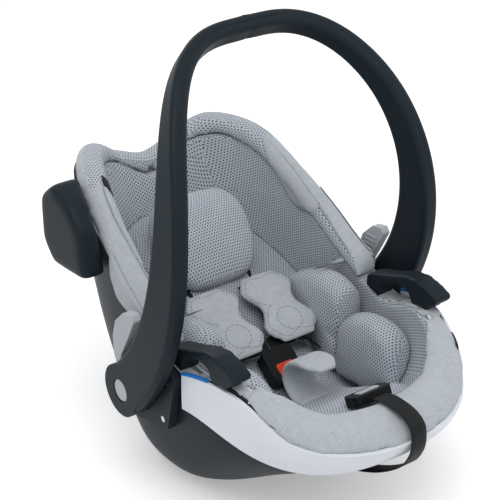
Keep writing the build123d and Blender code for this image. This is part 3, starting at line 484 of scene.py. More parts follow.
pads = {
    "back_pad": ("seat", PAD_VOXEL, 6, OFF_BACK, RIGHT, 5.0 * MM, 0.5),
    "seat_pad": ("seat", PAD_VOXEL, 6, Vector((0.0, 0.35, 0.94)), RIGHT, 5.0 * MM, 0.5),
    "head_pillow": ("headrest", PAD_VOXEL, 6, OFF_BACK, RIGHT, 6.0 * MM, 0.8),
    "crotch_pad": ("seat", FINE_VOXEL, 10, Vector((0.0, -0.4, 0.92)), RIGHT, 5.0 * MM, 0.5),
    "foot_cover": ("seat", RIM_VOXEL, 14, UP, RIGHT, 6.0 * MM, 0.5),
}
for side, sign in SIDES:
    inward = Vector((-0.72 * sign, -0.25, 0.65)).normalized()
    pads["body_bolster_" + side] = ("seat", PAD_VOXEL, 6, inward, AHEAD, 6.0 * MM, 0.7)
    pads["thigh_bolster_" + side] = ("seat", PAD_VOXEL, 6, inward, AHEAD, 6.0 * MM, 0.7)
    pads["shoulder_pad_" + side] = ("seat", FINE_VOXEL, 12, OFF_BACK, RIGHT, 6.0 * MM, 0.6)
    pads["wing_cover_" + side] = ("seat", RIM_VOXEL, 8, RIGHT, AHEAD, 6.0 * MM, 0.5)

sewn = {node: soft_copy(node, voxel, relax) for node, (_, voxel, relax, *_) in pads.items()}
print("sewn shells:", {node: len(piece.data.vertices) for node, piece in sewn.items()})

# %% [markdown]
# ## Head pillow
# The pillow is fuller and a little taller towards its top, where it holds the head. Moving the points by a
# smooth step along the back gives that without a second mesh.

# %% Fill out the pillow
BACK_FOOT = Vector((0.0, 0.0, 134.0)) * MM
PILLOW_FROM, PILLOW_TO = 108.0 * MM, 236.0 * MM
PILLOW_FULLER = 0.6
PILLOW_TALLER = 14.0 * MM


def smooth_step(value, low, high):
    """0 below low, 1 above high and an easy curve between."""
    t = min(1.0, max(0.0, (value - low) / (high - low)))
    return t * t * (3 - 2 * t)


for vertex in sewn["head_pillow"].data.vertices:
    place = vertex.co - BACK_FOOT
    high = smooth_step(place.dot(UP_BACK), PILLOW_FROM, PILLOW_TO)
    vertex.co += OFF_BACK * (PILLOW_FULLER * high * place.dot(OFF_BACK)) + UP_BACK * (PILLOW_TALLER * high)
print("pillow taller by", round(PILLOW_TALLER / MM), "mm")

# %% [markdown]
# ## Shoulder and crotch pads
# The shoulder pads are sewn longer and wider than their straps need, and spread outwards from the middle.
# The crotch pad narrows towards its two free ends, which are cut round. Both are plain stretches of the
# points, so the even quads stay even.

# %% Stretch the harness pads
SHOULDER_PAD_MIDDLE = Vector((36.0, 10.0, 193.0)) * MM
PAD_INNER_X = 2.0 * MM
PAD_WIDER, PAD_LONGER = 1.32, 1.2
PAD_RAISED = 2.0 * MM
CROTCH_ROUND_FROM, CROTCH_ROUND_TO = 136.0 * MM, 170.0 * MM
CROTCH_ROUND = 0.5

for side, sign in SIDES:
    for vertex in sewn["shoulder_pad_" + side].data.vertices:
        place = vertex.co - SHOULDER_PAD_MIDDLE
        vertex.co += UP_BACK * ((PAD_LONGER - 1) * place.dot(UP_BACK)) + OFF_BACK * PAD_RAISED
        vertex.co.x += (PAD_WIDER - 1) * (vertex.co.x - sign * PAD_INNER_X)
for vertex in sewn["crotch_pad"].data.vertices:
    towards_end = smooth_step(-vertex.co.y, CROTCH_ROUND_FROM, CROTCH_ROUND_TO)
    vertex.co.x *= 1.0 - CROTCH_ROUND * towards_end ** 2
print("shoulder pads wider by", PAD_WIDER, "and longer by", PAD_LONGER)

# %% [markdown]
# ## Foot cover
# The padded cover round the feet laps over the edge of the foam, down to the white band. Points that look
# outwards move out and down. Their shares are first averaged with their neighbours' many times, because
# raw normals would leave a ragged edge.

# %% Lap the foot cover over the edge
COVER_LAP = 9.0 * MM
COVER_DROP = 12.0 * MM
COVER_MIDDLE = Vector((0.0, -120.0, 0.0)) * MM
COVER_EVEN = 14

cover = sewn["foot_cover"].data
outwards = [(v.co - COVER_MIDDLE).cross(UP).cross(UP).normalized() * -1.0 for v in cover.vertices]
outer = [max(0.0, v.normal.dot(outward)) for v, outward in zip(cover.vertices, outwards)]
for _ in range(COVER_EVEN):
    total, count = list(outer), [1] * len(outer)
    for edge in cover.edges:
        a, b = edge.vertices
        total[a] += outer[b]
        total[b] += outer[a]
        count[a] += 1
        count[b] += 1
    outer = [value / number for value, number in zip(total, count)]
highest = max(outer)
for vertex, outward, share in zip(cover.vertices, outwards, outer):
    vertex.co += (outward * COVER_LAP - UP * COVER_DROP) * (share / highest)
print("foot cover laps", round(COVER_LAP / MM), "mm and drops", round(COVER_DROP / MM), "mm")

# %% [markdown]
# ## Wadding
# Wadding presses the cloth outwards all round, so a cloth simulation with a little pressure blows each shell
# up. It is held where it lies on something, and no point may move further than the pad's cap, so the pad
# stays in its own space. All pads swell in one run of the clock.

# %% Swell the pads with wadding
PRESSURE = 4.0
SWELL_FRAMES = 20
RESTS_BELOW = -0.3


def hold_where_resting(piece, facing):
    """Pins the side that lies on something and gives the rest a pressure cloth."""
    resting = piece.vertex_groups.new(name="resting")
    lying = [v.index for v in piece.data.vertices if v.normal.dot(facing) < RESTS_BELOW]
    resting.add(lying, 1.0, "REPLACE")
    cloth = piece.modifiers.new("wadding", "CLOTH")
    cloth.settings.vertex_group_mass = resting.name
    cloth.settings.quality = 4
    cloth.settings.mass = 0.3
    cloth.settings.tension_stiffness = 12.0
    cloth.settings.compression_stiffness = 8.0
    cloth.settings.bending_stiffness = 0.4
    cloth.settings.use_pressure = True
    cloth.settings.uniform_pressure_force = PRESSURE
    cloth.settings.effector_weights.gravity = 0.0
    cloth.collision_settings.use_collision = False
    cloth.point_cache.frame_end = SWELL_FRAMES


def keep_swollen(piece, cap):
    """Applies the swollen shape, with no point further than the cap from its start."""
    swollen = bpy.data.meshes.new_from_object(piece.evaluated_get(bpy.context.evaluated_depsgraph_get()))
    for start, end in zip(piece.data.vertices, swollen.vertices):
        move = end.co - start.co
        if move.length > cap:
            end.co = start.co + move * (cap / move.length)
    piece.modifiers.clear()
    piece.vertex_groups.clear()
    piece.data = swollen


for node, piece in sewn.items():
    hold_where_resting(piece, UP if node.startswith(("wing", "foot")) else pads[node][3])
for number in range(1, SWELL_FRAMES + 1):
    scene.frame_set(number)
for node, piece in sewn.items():
    keep_swollen(piece, pads[node][5])
scene.frame_set(1)
print("swollen:", len(sewn), "pads, at a pressure of", PRESSURE)

# %% [markdown]
# ## Cut the cloth
# A weave needs to know how the cloth was laid before it was cut. Each face is projected along the direction
# that the panel faces, or along one of the two sides where it turns away, and its UVs stay in metres. The
# pattern then has its real size on every pad, and breaks only where a sewn edge would break it.


# %% Lay, finish and mount the pads
def lay_cloth(piece, facing, rows, hold=0.5):
    """UVs in metres; a face stays on the facing panel while it leans towards it by more than hold."""
    sideways = (rows - facing * rows.dot(facing)).normalized()
    upward = facing.cross(sideways)
    panels = ((facing, sideways, upward), (upward, sideways, facing), (sideways, upward, facing))
    chart = piece.data.uv_layers.new(name="cut")
    for face in piece.data.polygons:
        turned = [abs(face.normal.dot(panel[0])) for panel in panels]
        _, u, v = panels[0] if turned[0] > hold else panels[turned.index(max(turned))]
        for corner in face.loop_indices:
            point = piece.data.vertices[piece.data.loops[corner].vertex_index].co
            chart.data[corner].uv = (point.dot(u), point.dot(v))


def mount(piece, body, slot, *replaced):
    """Seats a finished piece on its body and lets it stand for its CAD solids."""
    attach(piece, body)
    if replaced:
        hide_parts(*replaced)


def finish_in(piece, material):
    """Gives a piece one material, in place of what its copy brought along."""
    piece.data.materials.clear()
    piece.data.materials.append(material)


def round_off(piece):
    """One subdivision, which rounds the quads."""
    piece.modifiers.new("rounded", "SUBSURF").levels = 1
    piece.modifiers["rounded"].render_levels = 1


for node, piece in sewn.items():
    body, _, _, facing, rows, _, fill = pads[node]
    lay_cloth(piece, facing, rows)
    finish_in(piece, finishes[slot_of[node]])
    round_off(piece)
    mount(piece, body, slot_of[node], node)
print("mounted pads:", sorted(sewn))

# %% [markdown]
# ## Lining
# Below the rolled wings the bucket is lined with air mesh over a thin wadding. It lies against the foam, so
# it doesn't swell: remeshing and relaxing the CAD solid already softens its corners.

# %% Line the bucket
LINING_HOLD = 0.75

lining = soft_copy("seat_lining", FINE_VOXEL, 6)
lay_cloth(lining, RIGHT, UP_BACK, LINING_HOLD)
finish_in(lining, mesh_fabric)
mount(lining, "seat", "mesh_fabric", "seat_lining")
print("lining points:", len(lining.data.vertices))

# %% [markdown]
# ## Two cloths on the wings
# The rolled wings are plain cloth on the outside and air mesh on the side that touches the child and over
# the crest behind the head. A second material slot does it: each face takes the mesh by the way it leans
# and by how far back it lies.

# %% Change the wings to air mesh inside
HEAD_MIDDLE = Vector((0.0, 40.0, 0.0)) * MM
HEAD_END_Y = 168.0 * MM
LOOKS_IN = 0.45
CREST_LEANS = -0.25


def inward_at(place):
    """The level direction from a point of the rim towards the middle of the seat."""
    inward = HEAD_MIDDLE - place
    inward.z = 0.0
    return inward.normalized()


for side, _ in SIDES:
    wing = sewn["wing_cover_" + side].data
    wing.materials.append(mesh_fabric)
    for face in wing.polygons:
        lean = face.normal.dot(inward_at(face.center))
        on_top = face.center.y > HEAD_END_Y and lean > CREST_LEANS
        face.material_index = int(lean > LOOKS_IN or on_top)
    meshed = sum(face.material_index for face in wing.polygons)
    print(side, "wing faces in air mesh:", meshed, "of", len(wing.polygons))

# %% [markdown]
# ## Rounded mouldings
# The side pod and the belt guides are soft-edged mouldings, while their CAD solids have plain chamfers. The
# same remesh rounds them: relaxing a fine voxel skin wears the edges down and keeps the place and the size.

# %% Round the pod and the belt guides
POD_VOXEL = 4.0 * MM
GUIDE_VOXEL = 2.5 * MM

for node, body, voxel, relax in (
    ("side_impact_pod", "pod", POD_VOXEL, 26),
    ("belt_guide_left", "seat", GUIDE_VOXEL, 10),
    ("belt_guide_right", "seat", GUIDE_VOXEL, 10),
):
    moulding = soft_copy(node, voxel, relax)
    moulding.name = node + "_rounded"
    finish_in(moulding, finishes[slot_of[node]])
    round_off(moulding)
    mount(moulding, body, slot_of[node], node)
    print(node, "rounded:", len(moulding.data.vertices), "points")

# %% [markdown]
# ## Sheets on a surface
# Thin cloth has to lie on what is already there, so its points are found on finished meshes. A BVH tree
# answers two questions fast: what does this ray hit, and which point of the surface is nearest. A grid of
# such points becomes a sheet, and Solidify gives it the thickness of cloth.


# %% Surface and sheet helpers
def surface_of(*pieces):
    """One search tree over the meshes of several pieces."""
    points, faces = [], []
    for piece in pieces:
        start = len(points)
        points += [vertex.co.copy() for vertex in piece.data.vertices]
        faces += [[start + index for index in face.vertices] for face in piece.data.polygons]
    return BVHTree.FromPolygons(points, faces)


def cloth_sheet(name, rows, material, thickness):
    """A grid of points as a sheet of cloth with a real thickness; a point that is None leaves a gap."""
    points, index = [], {}
    for r, row in enumerate(rows):
        for c, point in enumerate(row):
            if point is not None:
                index[r, c] = len(points)
                points.append(point)
    faces = []
    for r in range(len(rows) - 1):
        for c in range(len(rows[0]) - 1):
            corners = [(r, c), (r, c + 1), (r + 1, c + 1), (r + 1, c)]
            if all(corner in index for corner in corners):
                faces.append([index[corner] for corner in corners])
    sheet = mesh_piece(name, points, faces, material)
    sheet.data.validate()
    thick = sheet.modifiers.new("cloth", "SOLIDIFY")
    thick.thickness = thickness
    thick.offset = 0.0
    return sheet


print("surface and sheet helpers ready")

# %% [markdown]
# ## Cloth over the bare foam
# Between the back pad, the seat pad and the lining the foam would show. The real cover is one sewn piece that
# runs under all the pads, so a sheet of air mesh is dropped onto the foam: rays fall square to the seat and
# then to the back, and the sheet lies where they land. A Catmull-Rom line joins the points of the profile.

# %% Drop the cover onto the foam
COVER_STEP = 6.0 * MM
COVER_HALF_WIDTH = 168.0 * MM
COVER_LIFT = 1.3 * MM
COVER_THICK = 1.0 * MM
COVER_STEEPEST = 0.35
RAY_FROM = 60.0 * MM
SEAT_PROFILE = [
    (-290.0, 190.0), (-250.0, 177.0), (-205.0, 150.0), (-160.0, 121.0), (-110.0, 99.0), (-60.0, 103.0),
    (0.0, 138.0), (87.0, 186.0), (173.0, 236.0), (240.0, 274.0), (262.0, 292.0),
]


def smooth_line(points, steps):
    """A Catmull-Rom line through the points."""
    ends = [points[0] * 2 - points[1]] + points + [points[-1] * 2 - points[-2]]
    line = []
    for a, b, c, d in zip(ends, ends[1:], ends[2:], ends[3:]):
        for step in range(steps):
            t = step / steps
            line.append(0.5 * (
                b * 2 + (c - a) * t + (a * 2 - b * 5 + c * 4 - d) * t ** 2 + (b * 3 - a - c * 3 + d) * t ** 3
            ))
    return line + [points[-1]]


def side_points(pairs, x=0.0):
    """Points in metres from (Y, Z) pairs in millimetres, in a plane across the seat at X."""
    return [Vector((x, y, z)) * MM for y, z in pairs]


def way_along(line, at):
    """The direction of a line at one of its points, from the points on both sides."""
    return (line[min(at + 1, len(line) - 1)] - line[max(at - 1, 0)]).normalized()


foam_surface = surface_of(nodes["foam_liner"])
profile = smooth_line(side_points(SEAT_PROFILE), 8)
columns = int(COVER_HALF_WIDTH / COVER_STEP)
rows = []
for at, middle in enumerate(profile):
    square = RIGHT.cross(way_along(profile, at))
    row = []
    for step in range(-columns, columns + 1):
        start = middle + RIGHT * (step * COVER_STEP) + square * RAY_FROM
        hit, normal, _, _ = foam_surface.ray_cast(start, -square, 2 * RAY_FROM)
        landed = hit is not None and abs(normal.dot(square)) > COVER_STEEPEST
        row.append(hit + square * COVER_LIFT if landed else None)
    rows.append(row)
under_cover = cloth_sheet("under_cover", rows, mesh_fabric, COVER_THICK)
lay_cloth(under_cover, OFF_BACK, RIGHT)
mount(under_cover, "seat", "mesh_fabric")
print("under cover faces:", len(under_cover.data.polygons))

# %% [markdown]
# ## Rim strips
# Under the belt guides the padded rim stops, and only a flat strip of the same cloth covers the edge of the
# foam. Rays from above find the edge, and the strip lies on it.

# %% Cover the rim under the belt guides
STRIP_STEP = 5.0
STRIP_X = (96.0, 186.0)
STRIP_Y = (-215.0, -20.0)
STRIP_FROM_Z = 300.0
STRIP_LOWEST = 190.0 * MM
STRIP_STEEPEST = 0.15
STRIP_LIFT = 1.5 * MM
STRIP_THICK = 1.2 * MM

edge_surface = surface_of(nodes["foam_liner"], nodes["base_shell"], lining)
strip_columns, strip_rows = (int((high - low) / STRIP_STEP) for low, high in (STRIP_X, STRIP_Y))
for side, sign in SIDES:
    rows = []
    for r in range(strip_rows + 1):
        row = []
        for c in range(strip_columns + 1):
            x, y = STRIP_X[0] + c * STRIP_STEP, STRIP_Y[0] + r * STRIP_STEP
            hit, normal, _, _ = edge_surface.ray_cast(Vector((sign * x, y, STRIP_FROM_Z)) * MM, -UP)
            lies = hit is not None and hit.z > STRIP_LOWEST and abs(normal.z) > STRIP_STEEPEST
            row.append(hit + UP * STRIP_LIFT if lies else None)
        rows.append(row)
    strip = cloth_sheet("rim_strip_" + side, rows, finishes["plain_fabric"], STRIP_THICK)
    lay_cloth(strip, UP, AHEAD)
    mount(strip, "seat", "plain_fabric")
    print("rim strip", side, "faces:", len(strip.data.polygons))

# %% [markdown]
# ## Wing skirts
# Outside, the plain cloth of the wings hangs a little way down over the shell, in front of the side pod and
# behind the handle. Rays from outside find the wing and the shell below it. The skirt is then pulled taut:
# where it would sink between two points, it takes the straight line across.

# %% Hang the skirts
SKIRT_TOP = [(-40.0, 256.0), (0.0, 272.0), (45.0, 300.0), (66.0, 313.0), (84.0, 324.0)]
SKIRT_LOW = [(-40.0, 240.0), (0.0, 249.0), (30.0, 253.0), (50.0, 255.0), (68.0, 261.0), (84.0, 286.0)]
SKIRT_COLUMNS, SKIRT_ROWS = 30, 14
SKIRT_LIFT = 2.2 * MM
SKIRT_THICK = 1.6 * MM
SKIRT_PULLS = 40
OUTSIDE_X = 0.4


def height_at(line, y):
    """Z on a line of (Y, Z) pairs, straight between them."""
    for (y0, z0), (y1, z1) in zip(line, line[1:]):
        if y <= y1:
            return z0 + (z1 - z0) * max(0.0, y - y0) / (y1 - y0)
    return line[-1][1]


def skirt_place(r, c):
    """Y and Z, in metres, of one point of the skirt's grid."""
    y = SKIRT_TOP[0][0] + (SKIRT_TOP[-1][0] - SKIRT_TOP[0][0]) * c / SKIRT_COLUMNS
    top, low = height_at(SKIRT_TOP, y), height_at(SKIRT_LOW, y)
    return y * MM, (top + (low - top) * r / SKIRT_ROWS) * MM


for side, sign in SIDES:
    outside = surface_of(nodes["base_shell"], sewn["wing_cover_" + side])
    reaches = []
    for r in range(SKIRT_ROWS + 1):
        row = []
        for c in range(SKIRT_COLUMNS + 1):
            start = Vector((sign * OUTSIDE_X, *skirt_place(r, c)))
            hit, _, _, _ = outside.ray_cast(start, RIGHT * -sign)
            row.append(hit.x * sign + SKIRT_LIFT if hit else 0.0)
        reaches.append(row)
    for _ in range(SKIRT_PULLS):
        reaches = [reaches[0]] + [
            [max(b, (a + c) / 2) for a, b, c in zip(*three)]
            for three in zip(reaches, reaches[1:], reaches[2:])
        ] + [reaches[-1]]
    rows = [
        [Vector((sign * reach, *skirt_place(r, c))) for c, reach in enumerate(row)]
        for r, row in enumerate(reaches)
    ]
    skirt = cloth_sheet("wing_skirt_" + side, rows, finishes["plain_fabric"], SKIRT_THICK)
    skirt.modifiers.new("hangs_smooth", "SMOOTH").iterations = 4
    lay_cloth(skirt, RIGHT, AHEAD)
    mount(skirt, "seat", "plain_fabric")
    print("skirt", side, "faces:", len(skirt.data.polygons))

# %% [markdown]
# ## Cords
# Piping, bindings and seams are cords of cloth or thread that follow a line. A curve object with a bevel
# would also do, but a mesh can be flattened and can set its own UVs: each point of the line carries a ring
# of points, and walls join the rings.

# %% Cord helpers
NEARLY_UPRIGHT = 0.9


def across_and_lift(ahead):
    """Two directions square to a line and to each other."""
    across = ahead.cross(UP if abs(ahead.z) < NEARLY_UPRIGHT else RIGHT).normalized()
    return across, across.cross(ahead)


def rings(count, sides):
    """The faces of a closed tube of rings: its walls, then its two ends."""
    walls = [
        (at * sides + k, at * sides + (k + 1) % sides,
         (at + 1) * sides + (k + 1) % sides, (at + 1) * sides + k)
        for at in range(count - 1) for k in range(sides)
    ]
    return walls + [tuple(range(sides - 1, -1, -1)), tuple(range((count - 1) * sides, count * sides))]


def lay_by_point(piece, uv_at):
    """UVs that a function gives for the number of each point."""
    chart = piece.data.uv_layers.new(name="cut")
    for loop in piece.data.loops:
        chart.data[loop.index].uv = uv_at(loop.vertex_index)


def tube(name, line, radius, material, sides=8):
    """A round cord of cloth or thread along a line, closed at both ends."""
    points = []
    for at, place in enumerate(line):
        across, lift = across_and_lift(way_along(line, at))
        for k in range(sides):
            turn = 2 * pi * k / sides
            points.append(place + (across * cos(turn) + lift * sin(turn)) * radius)
    cord = mesh_piece(name, points, rings(len(line), sides), material)
    lay_by_point(cord, lambda point: (2 * pi * radius * (point % sides) / sides, point // sides * radius))
    return cord


print("cord helpers ready")

# %% [markdown]
# ## Head gusset
# The two wing rolls end behind the head, and a short padded gusset of air mesh closes the dip between them.
# A thick cord along the crest, flattened to the width of the rolls, does it: only its top is ever seen.

# %% Close the dip behind the head
GUSSET_HALF = [(20.0, 346.0), (36.0, 352.0), (54.0, 359.0)]
GUSSET_LOW_Z = 342.0
GUSSET_Y = 277.0 * MM
GUSSET_RADIUS = 12.0 * MM
GUSSET_WIDER = 1.42
GUSSET_SIDES = 20
GUSSET_HOLD = 0.3

crest = [(-x, z) for x, z in reversed(GUSSET_HALF)] + [(0.0, GUSSET_LOW_Z)] + GUSSET_HALF
crest_line = smooth_line([Vector((x * MM, GUSSET_Y, z * MM)) for x, z in crest], 5)
gusset = tube("head_gusset", crest_line, GUSSET_RADIUS, mesh_fabric, GUSSET_SIDES)
for vertex in gusset.data.vertices:
    vertex.co.y = GUSSET_Y + GUSSET_WIDER * (vertex.co.y - GUSSET_Y)
gusset.data.uv_layers.remove(gusset.data.uv_layers["cut"])
lay_cloth(gusset, UP, RIGHT, GUSSET_HOLD)
mount(gusset, "seat", "mesh_fabric")
print("head gusset points:", len(gusset.data.vertices))

# %% [markdown]
# ## The crest of a wing
# Patches, piping and a tab follow the line where the outer cloth of a wing meets its inner cloth. It is read
# from the swollen mesh: in each small turn round the head, the point whose normal leans just that way is
# kept, and the line is smoothed.

# %% Find the crests
CREST_STEP = radians(2.0)
CREST_EVEN = 8


def eased(line, times):
    """A line whose inner points are averaged with their neighbours, a few times over."""
    for _ in range(times):
        line = [line[0]] + [(a + b * 2 + c) / 4 for a, b, c in zip(line, line[1:], line[2:])] + [line[-1]]
    return line


def ridge_of(wing, sign):
    """The line along a rolled wing where its outer cloth meets its inner cloth."""
    ridge = {}
    for vertex in wing.vertices:
        turn = round(atan2(vertex.co.y - HEAD_MIDDLE.y, vertex.co.x * sign) / CREST_STEP)
        off = abs(vertex.normal.dot(inward_at(vertex.co)) - LOOKS_IN)
        if vertex.normal.z > 0 and (turn not in ridge or off < ridge[turn][0]):
            ridge[turn] = (off, vertex.co.copy())
    return eased([ridge[turn][1] for turn in sorted(ridge)], CREST_EVEN)[2:-3]


def ridge_at(line, y):
    """The point of a ridge line at this Y, in millimetres."""
    for a, b in zip(line, line[1:]):
        if a.y <= y * MM <= b.y:
            return a.lerp(b, (y * MM - a.y) / (b.y - a.y))
    return min(line, key=lambda point: abs(point.y - y * MM))


ridges = {side: ridge_of(sewn["wing_cover_" + side].data, sign) for side, sign in SIDES}
print("crest points:", {side: len(ridge) for side, ridge in ridges.items()})

# %% [markdown]
# ## Stitches
# A seam is seen as a row of short threads with gaps between them. A dashed texture would vanish from the
# side, so each stitch is a small spindle of geometry: two tips and two square rings.

# %% Stitch helper
STITCH_PITCH = 5.0 * MM
STITCH_RADIUS = 0.6 * MM
STITCH_SHARE = 0.68


def stitches(name, line, material):
    """A row of thread stitches along a line."""
    points, faces, walked, start = [], [], 0.0, line[0]
    for a, b in zip(line, line[1:]):
        walked += (b - a).length
        if walked < STITCH_PITCH:
            continue
        end = start.lerp(b, STITCH_SHARE)
        across, lift = across_and_lift((end - start).normalized())
        first = len(points)
        points.append(start)
        for share in (0.25, 0.75):
            middle = start.lerp(end, share)
            points += [middle + (across * cos(turn) + lift * sin(turn)) * STITCH_RADIUS
                       for turn in (0.0, pi / 2, pi, 3 * pi / 2)]
        points.append(end)
        for k in range(4):
            after = (k + 1) % 4
            faces += [
                (first, first + 1 + after, first + 1 + k),
                (first + 1 + k, first + 1 + after, first + 5 + after, first + 5 + k),
                (first + 9, first + 5 + k, first + 5 + after),
            ]
        start, walked = b, 0.0
    row = mesh_piece(name, points, faces, material)
    lay_by_point(row, lambda point: (points[point].x + points[point].y, points[point].z))
    return row


print("a stitch is", round(STITCH_PITCH * STITCH_SHARE / MM, 1), "mm long")

# %% [markdown]
# ## Wing patches
# A lens of plain cloth is sewn into each wing beside the head, with a bound edge and a row of stitches. Its
# top follows the crest, and each row goes down the nearest surface. Evening out the columns takes away the
# small steps that the quads below would print through.

# %% Sew the wing patches
PATCH_TOP_Y = 168.0
PATCH_LOW_Y = 50.0
PATCH_TIP = 2.0 * MM
PATCH_DEPTH = 52.0 * MM
PATCH_ROUND = 0.7
PATCH_INWARD, PATCH_DOWN = 0.5, 0.85
PATCH_ROWS, PATCH_COLUMNS = 28, 10
PATCH_EVEN = 4
PATCH_LIFT = 1.0 * MM
PATCH_THICK = 1.4 * MM
BINDING_RADIUS = 0.9 * MM

inside = surface_of(lining, sewn["wing_cover_left"], sewn["wing_cover_right"])
for side, _ in SIDES:
    rows = []
    for r in range(PATCH_ROWS + 1):
        share = r / PATCH_ROWS
        top = ridge_at(ridges[side], PATCH_TOP_Y + (PATCH_LOW_Y - PATCH_TOP_Y) * share)
        depth = PATCH_TIP + PATCH_DEPTH * sin(pi * share) ** PATCH_ROUND
        row = []
        for c in range(PATCH_COLUMNS + 1):
            down = depth * c / PATCH_COLUMNS
            spot = top + inward_at(top) * (PATCH_INWARD * down) - UP * (PATCH_DOWN * down)
            hit, normal, _, _ = inside.find_nearest(spot)
            row.append(hit + normal * PATCH_LIFT)
        rows.append(row)
    rows = list(zip(*(eased(column, PATCH_EVEN) for column in zip(*rows))))
    patch = cloth_sheet("wing_patch_" + side, rows, finishes["plain_fabric"], PATCH_THICK)
    lay_cloth(patch, RIGHT, AHEAD)
    mount(patch, "seat", "plain_fabric")

    edge = [row[-1] for row in rows]
    mount(tube("wing_patch_binding_" + side, edge, BINDING_RADIUS, edge_cloth), "seat", "plain_fabric")
    hem_line = smooth_line([row[-3] for row in rows], 4)
    mount(stitches("wing_patch_stitches_" + side, hem_line, thread), "seat", "plain_fabric")
    print("wing patch", side, "faces:", len(patch.data.polygons))

# %% [markdown]
# ## Piping and seams
# A thin piping closes the roll of each wing along its crest, and a sewn line runs down the lining from the
# lower tip of the patch. Both are tubes that lie half in the cloth.

# %% Sew the piping and the seams
PIPING_RADIUS = 1.8 * MM
SEAM_RADIUS = 0.8 * MM
SEAM_LIFT = 0.2 * MM
WING_NEAR_X = 165.0 * MM
SEAM_LINE = [(48.0, 292.0), (30.0, 268.0), (14.0, 243.0), (2.0, 224.0)]


def on_wing(sign, y, z, lift):
    """The point of the inner wing at this Y and Z in millimetres, seen from the middle of the seat."""
    start = Vector((0.0, y * MM, z * MM))
    hit, normal, _, _ = inside.ray_cast(start, RIGHT * sign)
    if hit is None:
        hit, normal, _, _ = inside.find_nearest(start + RIGHT * (sign * WING_NEAR_X))
    return hit + normal * lift


for side, sign in SIDES:
    beside_head = [point for point in ridges[side] if point.y < PATCH_TOP_Y * MM]
    mount(tube("wing_piping_" + side, beside_head, PIPING_RADIUS, edge_cloth), "seat", "plain_fabric")
    seam = smooth_line([on_wing(sign, y, z, SEAM_LIFT) for y, z in SEAM_LINE], 10)
    mount(tube("lining_seam_" + side, seam, SEAM_RADIUS, thread), "seat", "plain_fabric")
    print("piping and seam sewn on the", side, "wing")

# %% [markdown]
# ## Quilting
# Each shoulder pad is quilted through: stitches run in a circle on its lower half. Rays along the back find
# the swollen pad, so the circle follows its curve.

# %% Quilt the shoulder pads
QUILT_RADIUS = 19.0 * MM
QUILT_PLACE = Vector((45.0, -22.0, 190.0)) * MM
QUILT_STEPS = 96
THREAD_LIFT = 0.3 * MM
ABOVE_PAD = OFF_BACK * (50.0 * MM)

pad_trees = {side: surface_of(sewn["shoulder_pad_" + side]) for side, _ in SIDES}
for side, sign in SIDES:
    circle = []
    for step in range(QUILT_STEPS + 1):
        turn = 2 * pi * step / QUILT_STEPS
        spot = Vector((sign * QUILT_PLACE.x, QUILT_PLACE.y, QUILT_PLACE.z))
        spot += RIGHT * (QUILT_RADIUS * cos(turn)) + UP_BACK * (QUILT_RADIUS * sin(turn))
        hit, normal, _, _ = pad_trees[side].ray_cast(spot + ABOVE_PAD, -OFF_BACK)
        circle.append(hit + normal * THREAD_LIFT)
    quilting = stitches("shoulder_pad_quilting_" + side, circle, thread)
    mount(quilting, "seat", "plain_fabric")
    print("quilting", side, "points:", len(quilting.data.vertices))

# %% [markdown]
# ## Hems
# A second row of stitches runs just inside the edge of each shoulder pad. The edge is found by its reach:
# the furthest point in each of many directions from the middle, smoothed, and drawn in by the hem's width.

# %% Hem the shoulder pads
EDGE_STEPS = 120
EDGE_EVEN = 3
EDGE_INSET = 6.0 * MM

for side, _ in SIDES:
    pad = sewn["shoulder_pad_" + side].data
    middle = sum((vertex.co for vertex in pad.vertices), Vector()) / len(pad.vertices)
    reach = [0.0] * EDGE_STEPS
    for vertex in pad.vertices:
        place = vertex.co - middle
        flat = (place.dot(RIGHT), place.dot(UP_BACK))
        turn = int(atan2(flat[1], flat[0]) / (2 * pi) * EDGE_STEPS) % EDGE_STEPS
        reach[turn] = max(reach[turn], (flat[0] ** 2 + flat[1] ** 2) ** 0.5)
    for _ in range(EDGE_EVEN):
        reach = [(reach[k - 1] + reach[k] * 2 + reach[(k + 1) % EDGE_STEPS]) / 4 for k in range(EDGE_STEPS)]
    border = []
    for step in range(EDGE_STEPS + 1):
        turn = 2 * pi * (step + 0.5) / EDGE_STEPS
        out = reach[step % EDGE_STEPS] - EDGE_INSET
        spot = middle + RIGHT * (out * cos(turn)) + UP_BACK * (out * sin(turn)) + ABOVE_PAD
        hit, normal, _, _ = pad_trees[side].ray_cast(spot, -OFF_BACK)
        if hit is not None:
            border.append(hit + normal * THREAD_LIFT)
    hem = stitches("shoulder_pad_hem_" + side, smooth_line(border, 3), thread)
    mount(hem, "seat", "plain_fabric")
    print("hem", side, "points:", len(hem.data.vertices))

# %% [markdown]
# ## Ribbon tabs
# Two small tabs of plain black ribbon are caught in the seams, one on a wing and one on the foot rim. Each
# is a small grid whose points go to the nearest cloth, so that it bends with it.

# %% Sew in the tabs
TAB_SIZE = (34.0 * MM, 20.0 * MM)
TAB_STEPS = 6
TAB_LIFT = 1.4 * MM
TAB_THICK = 1.0 * MM
WING_TAB_Y = 172.0
CREST_REACH = 8.0
RIM_TAB_PLACE = Vector((158.0, -240.0, 214.0)) * MM
RIM_TAB_ALONG = Vector((0.5, 0.86, 0.0)).normalized()
RIM_TAB_UP = Vector((0.2, -0.2, 0.95)).normalized()


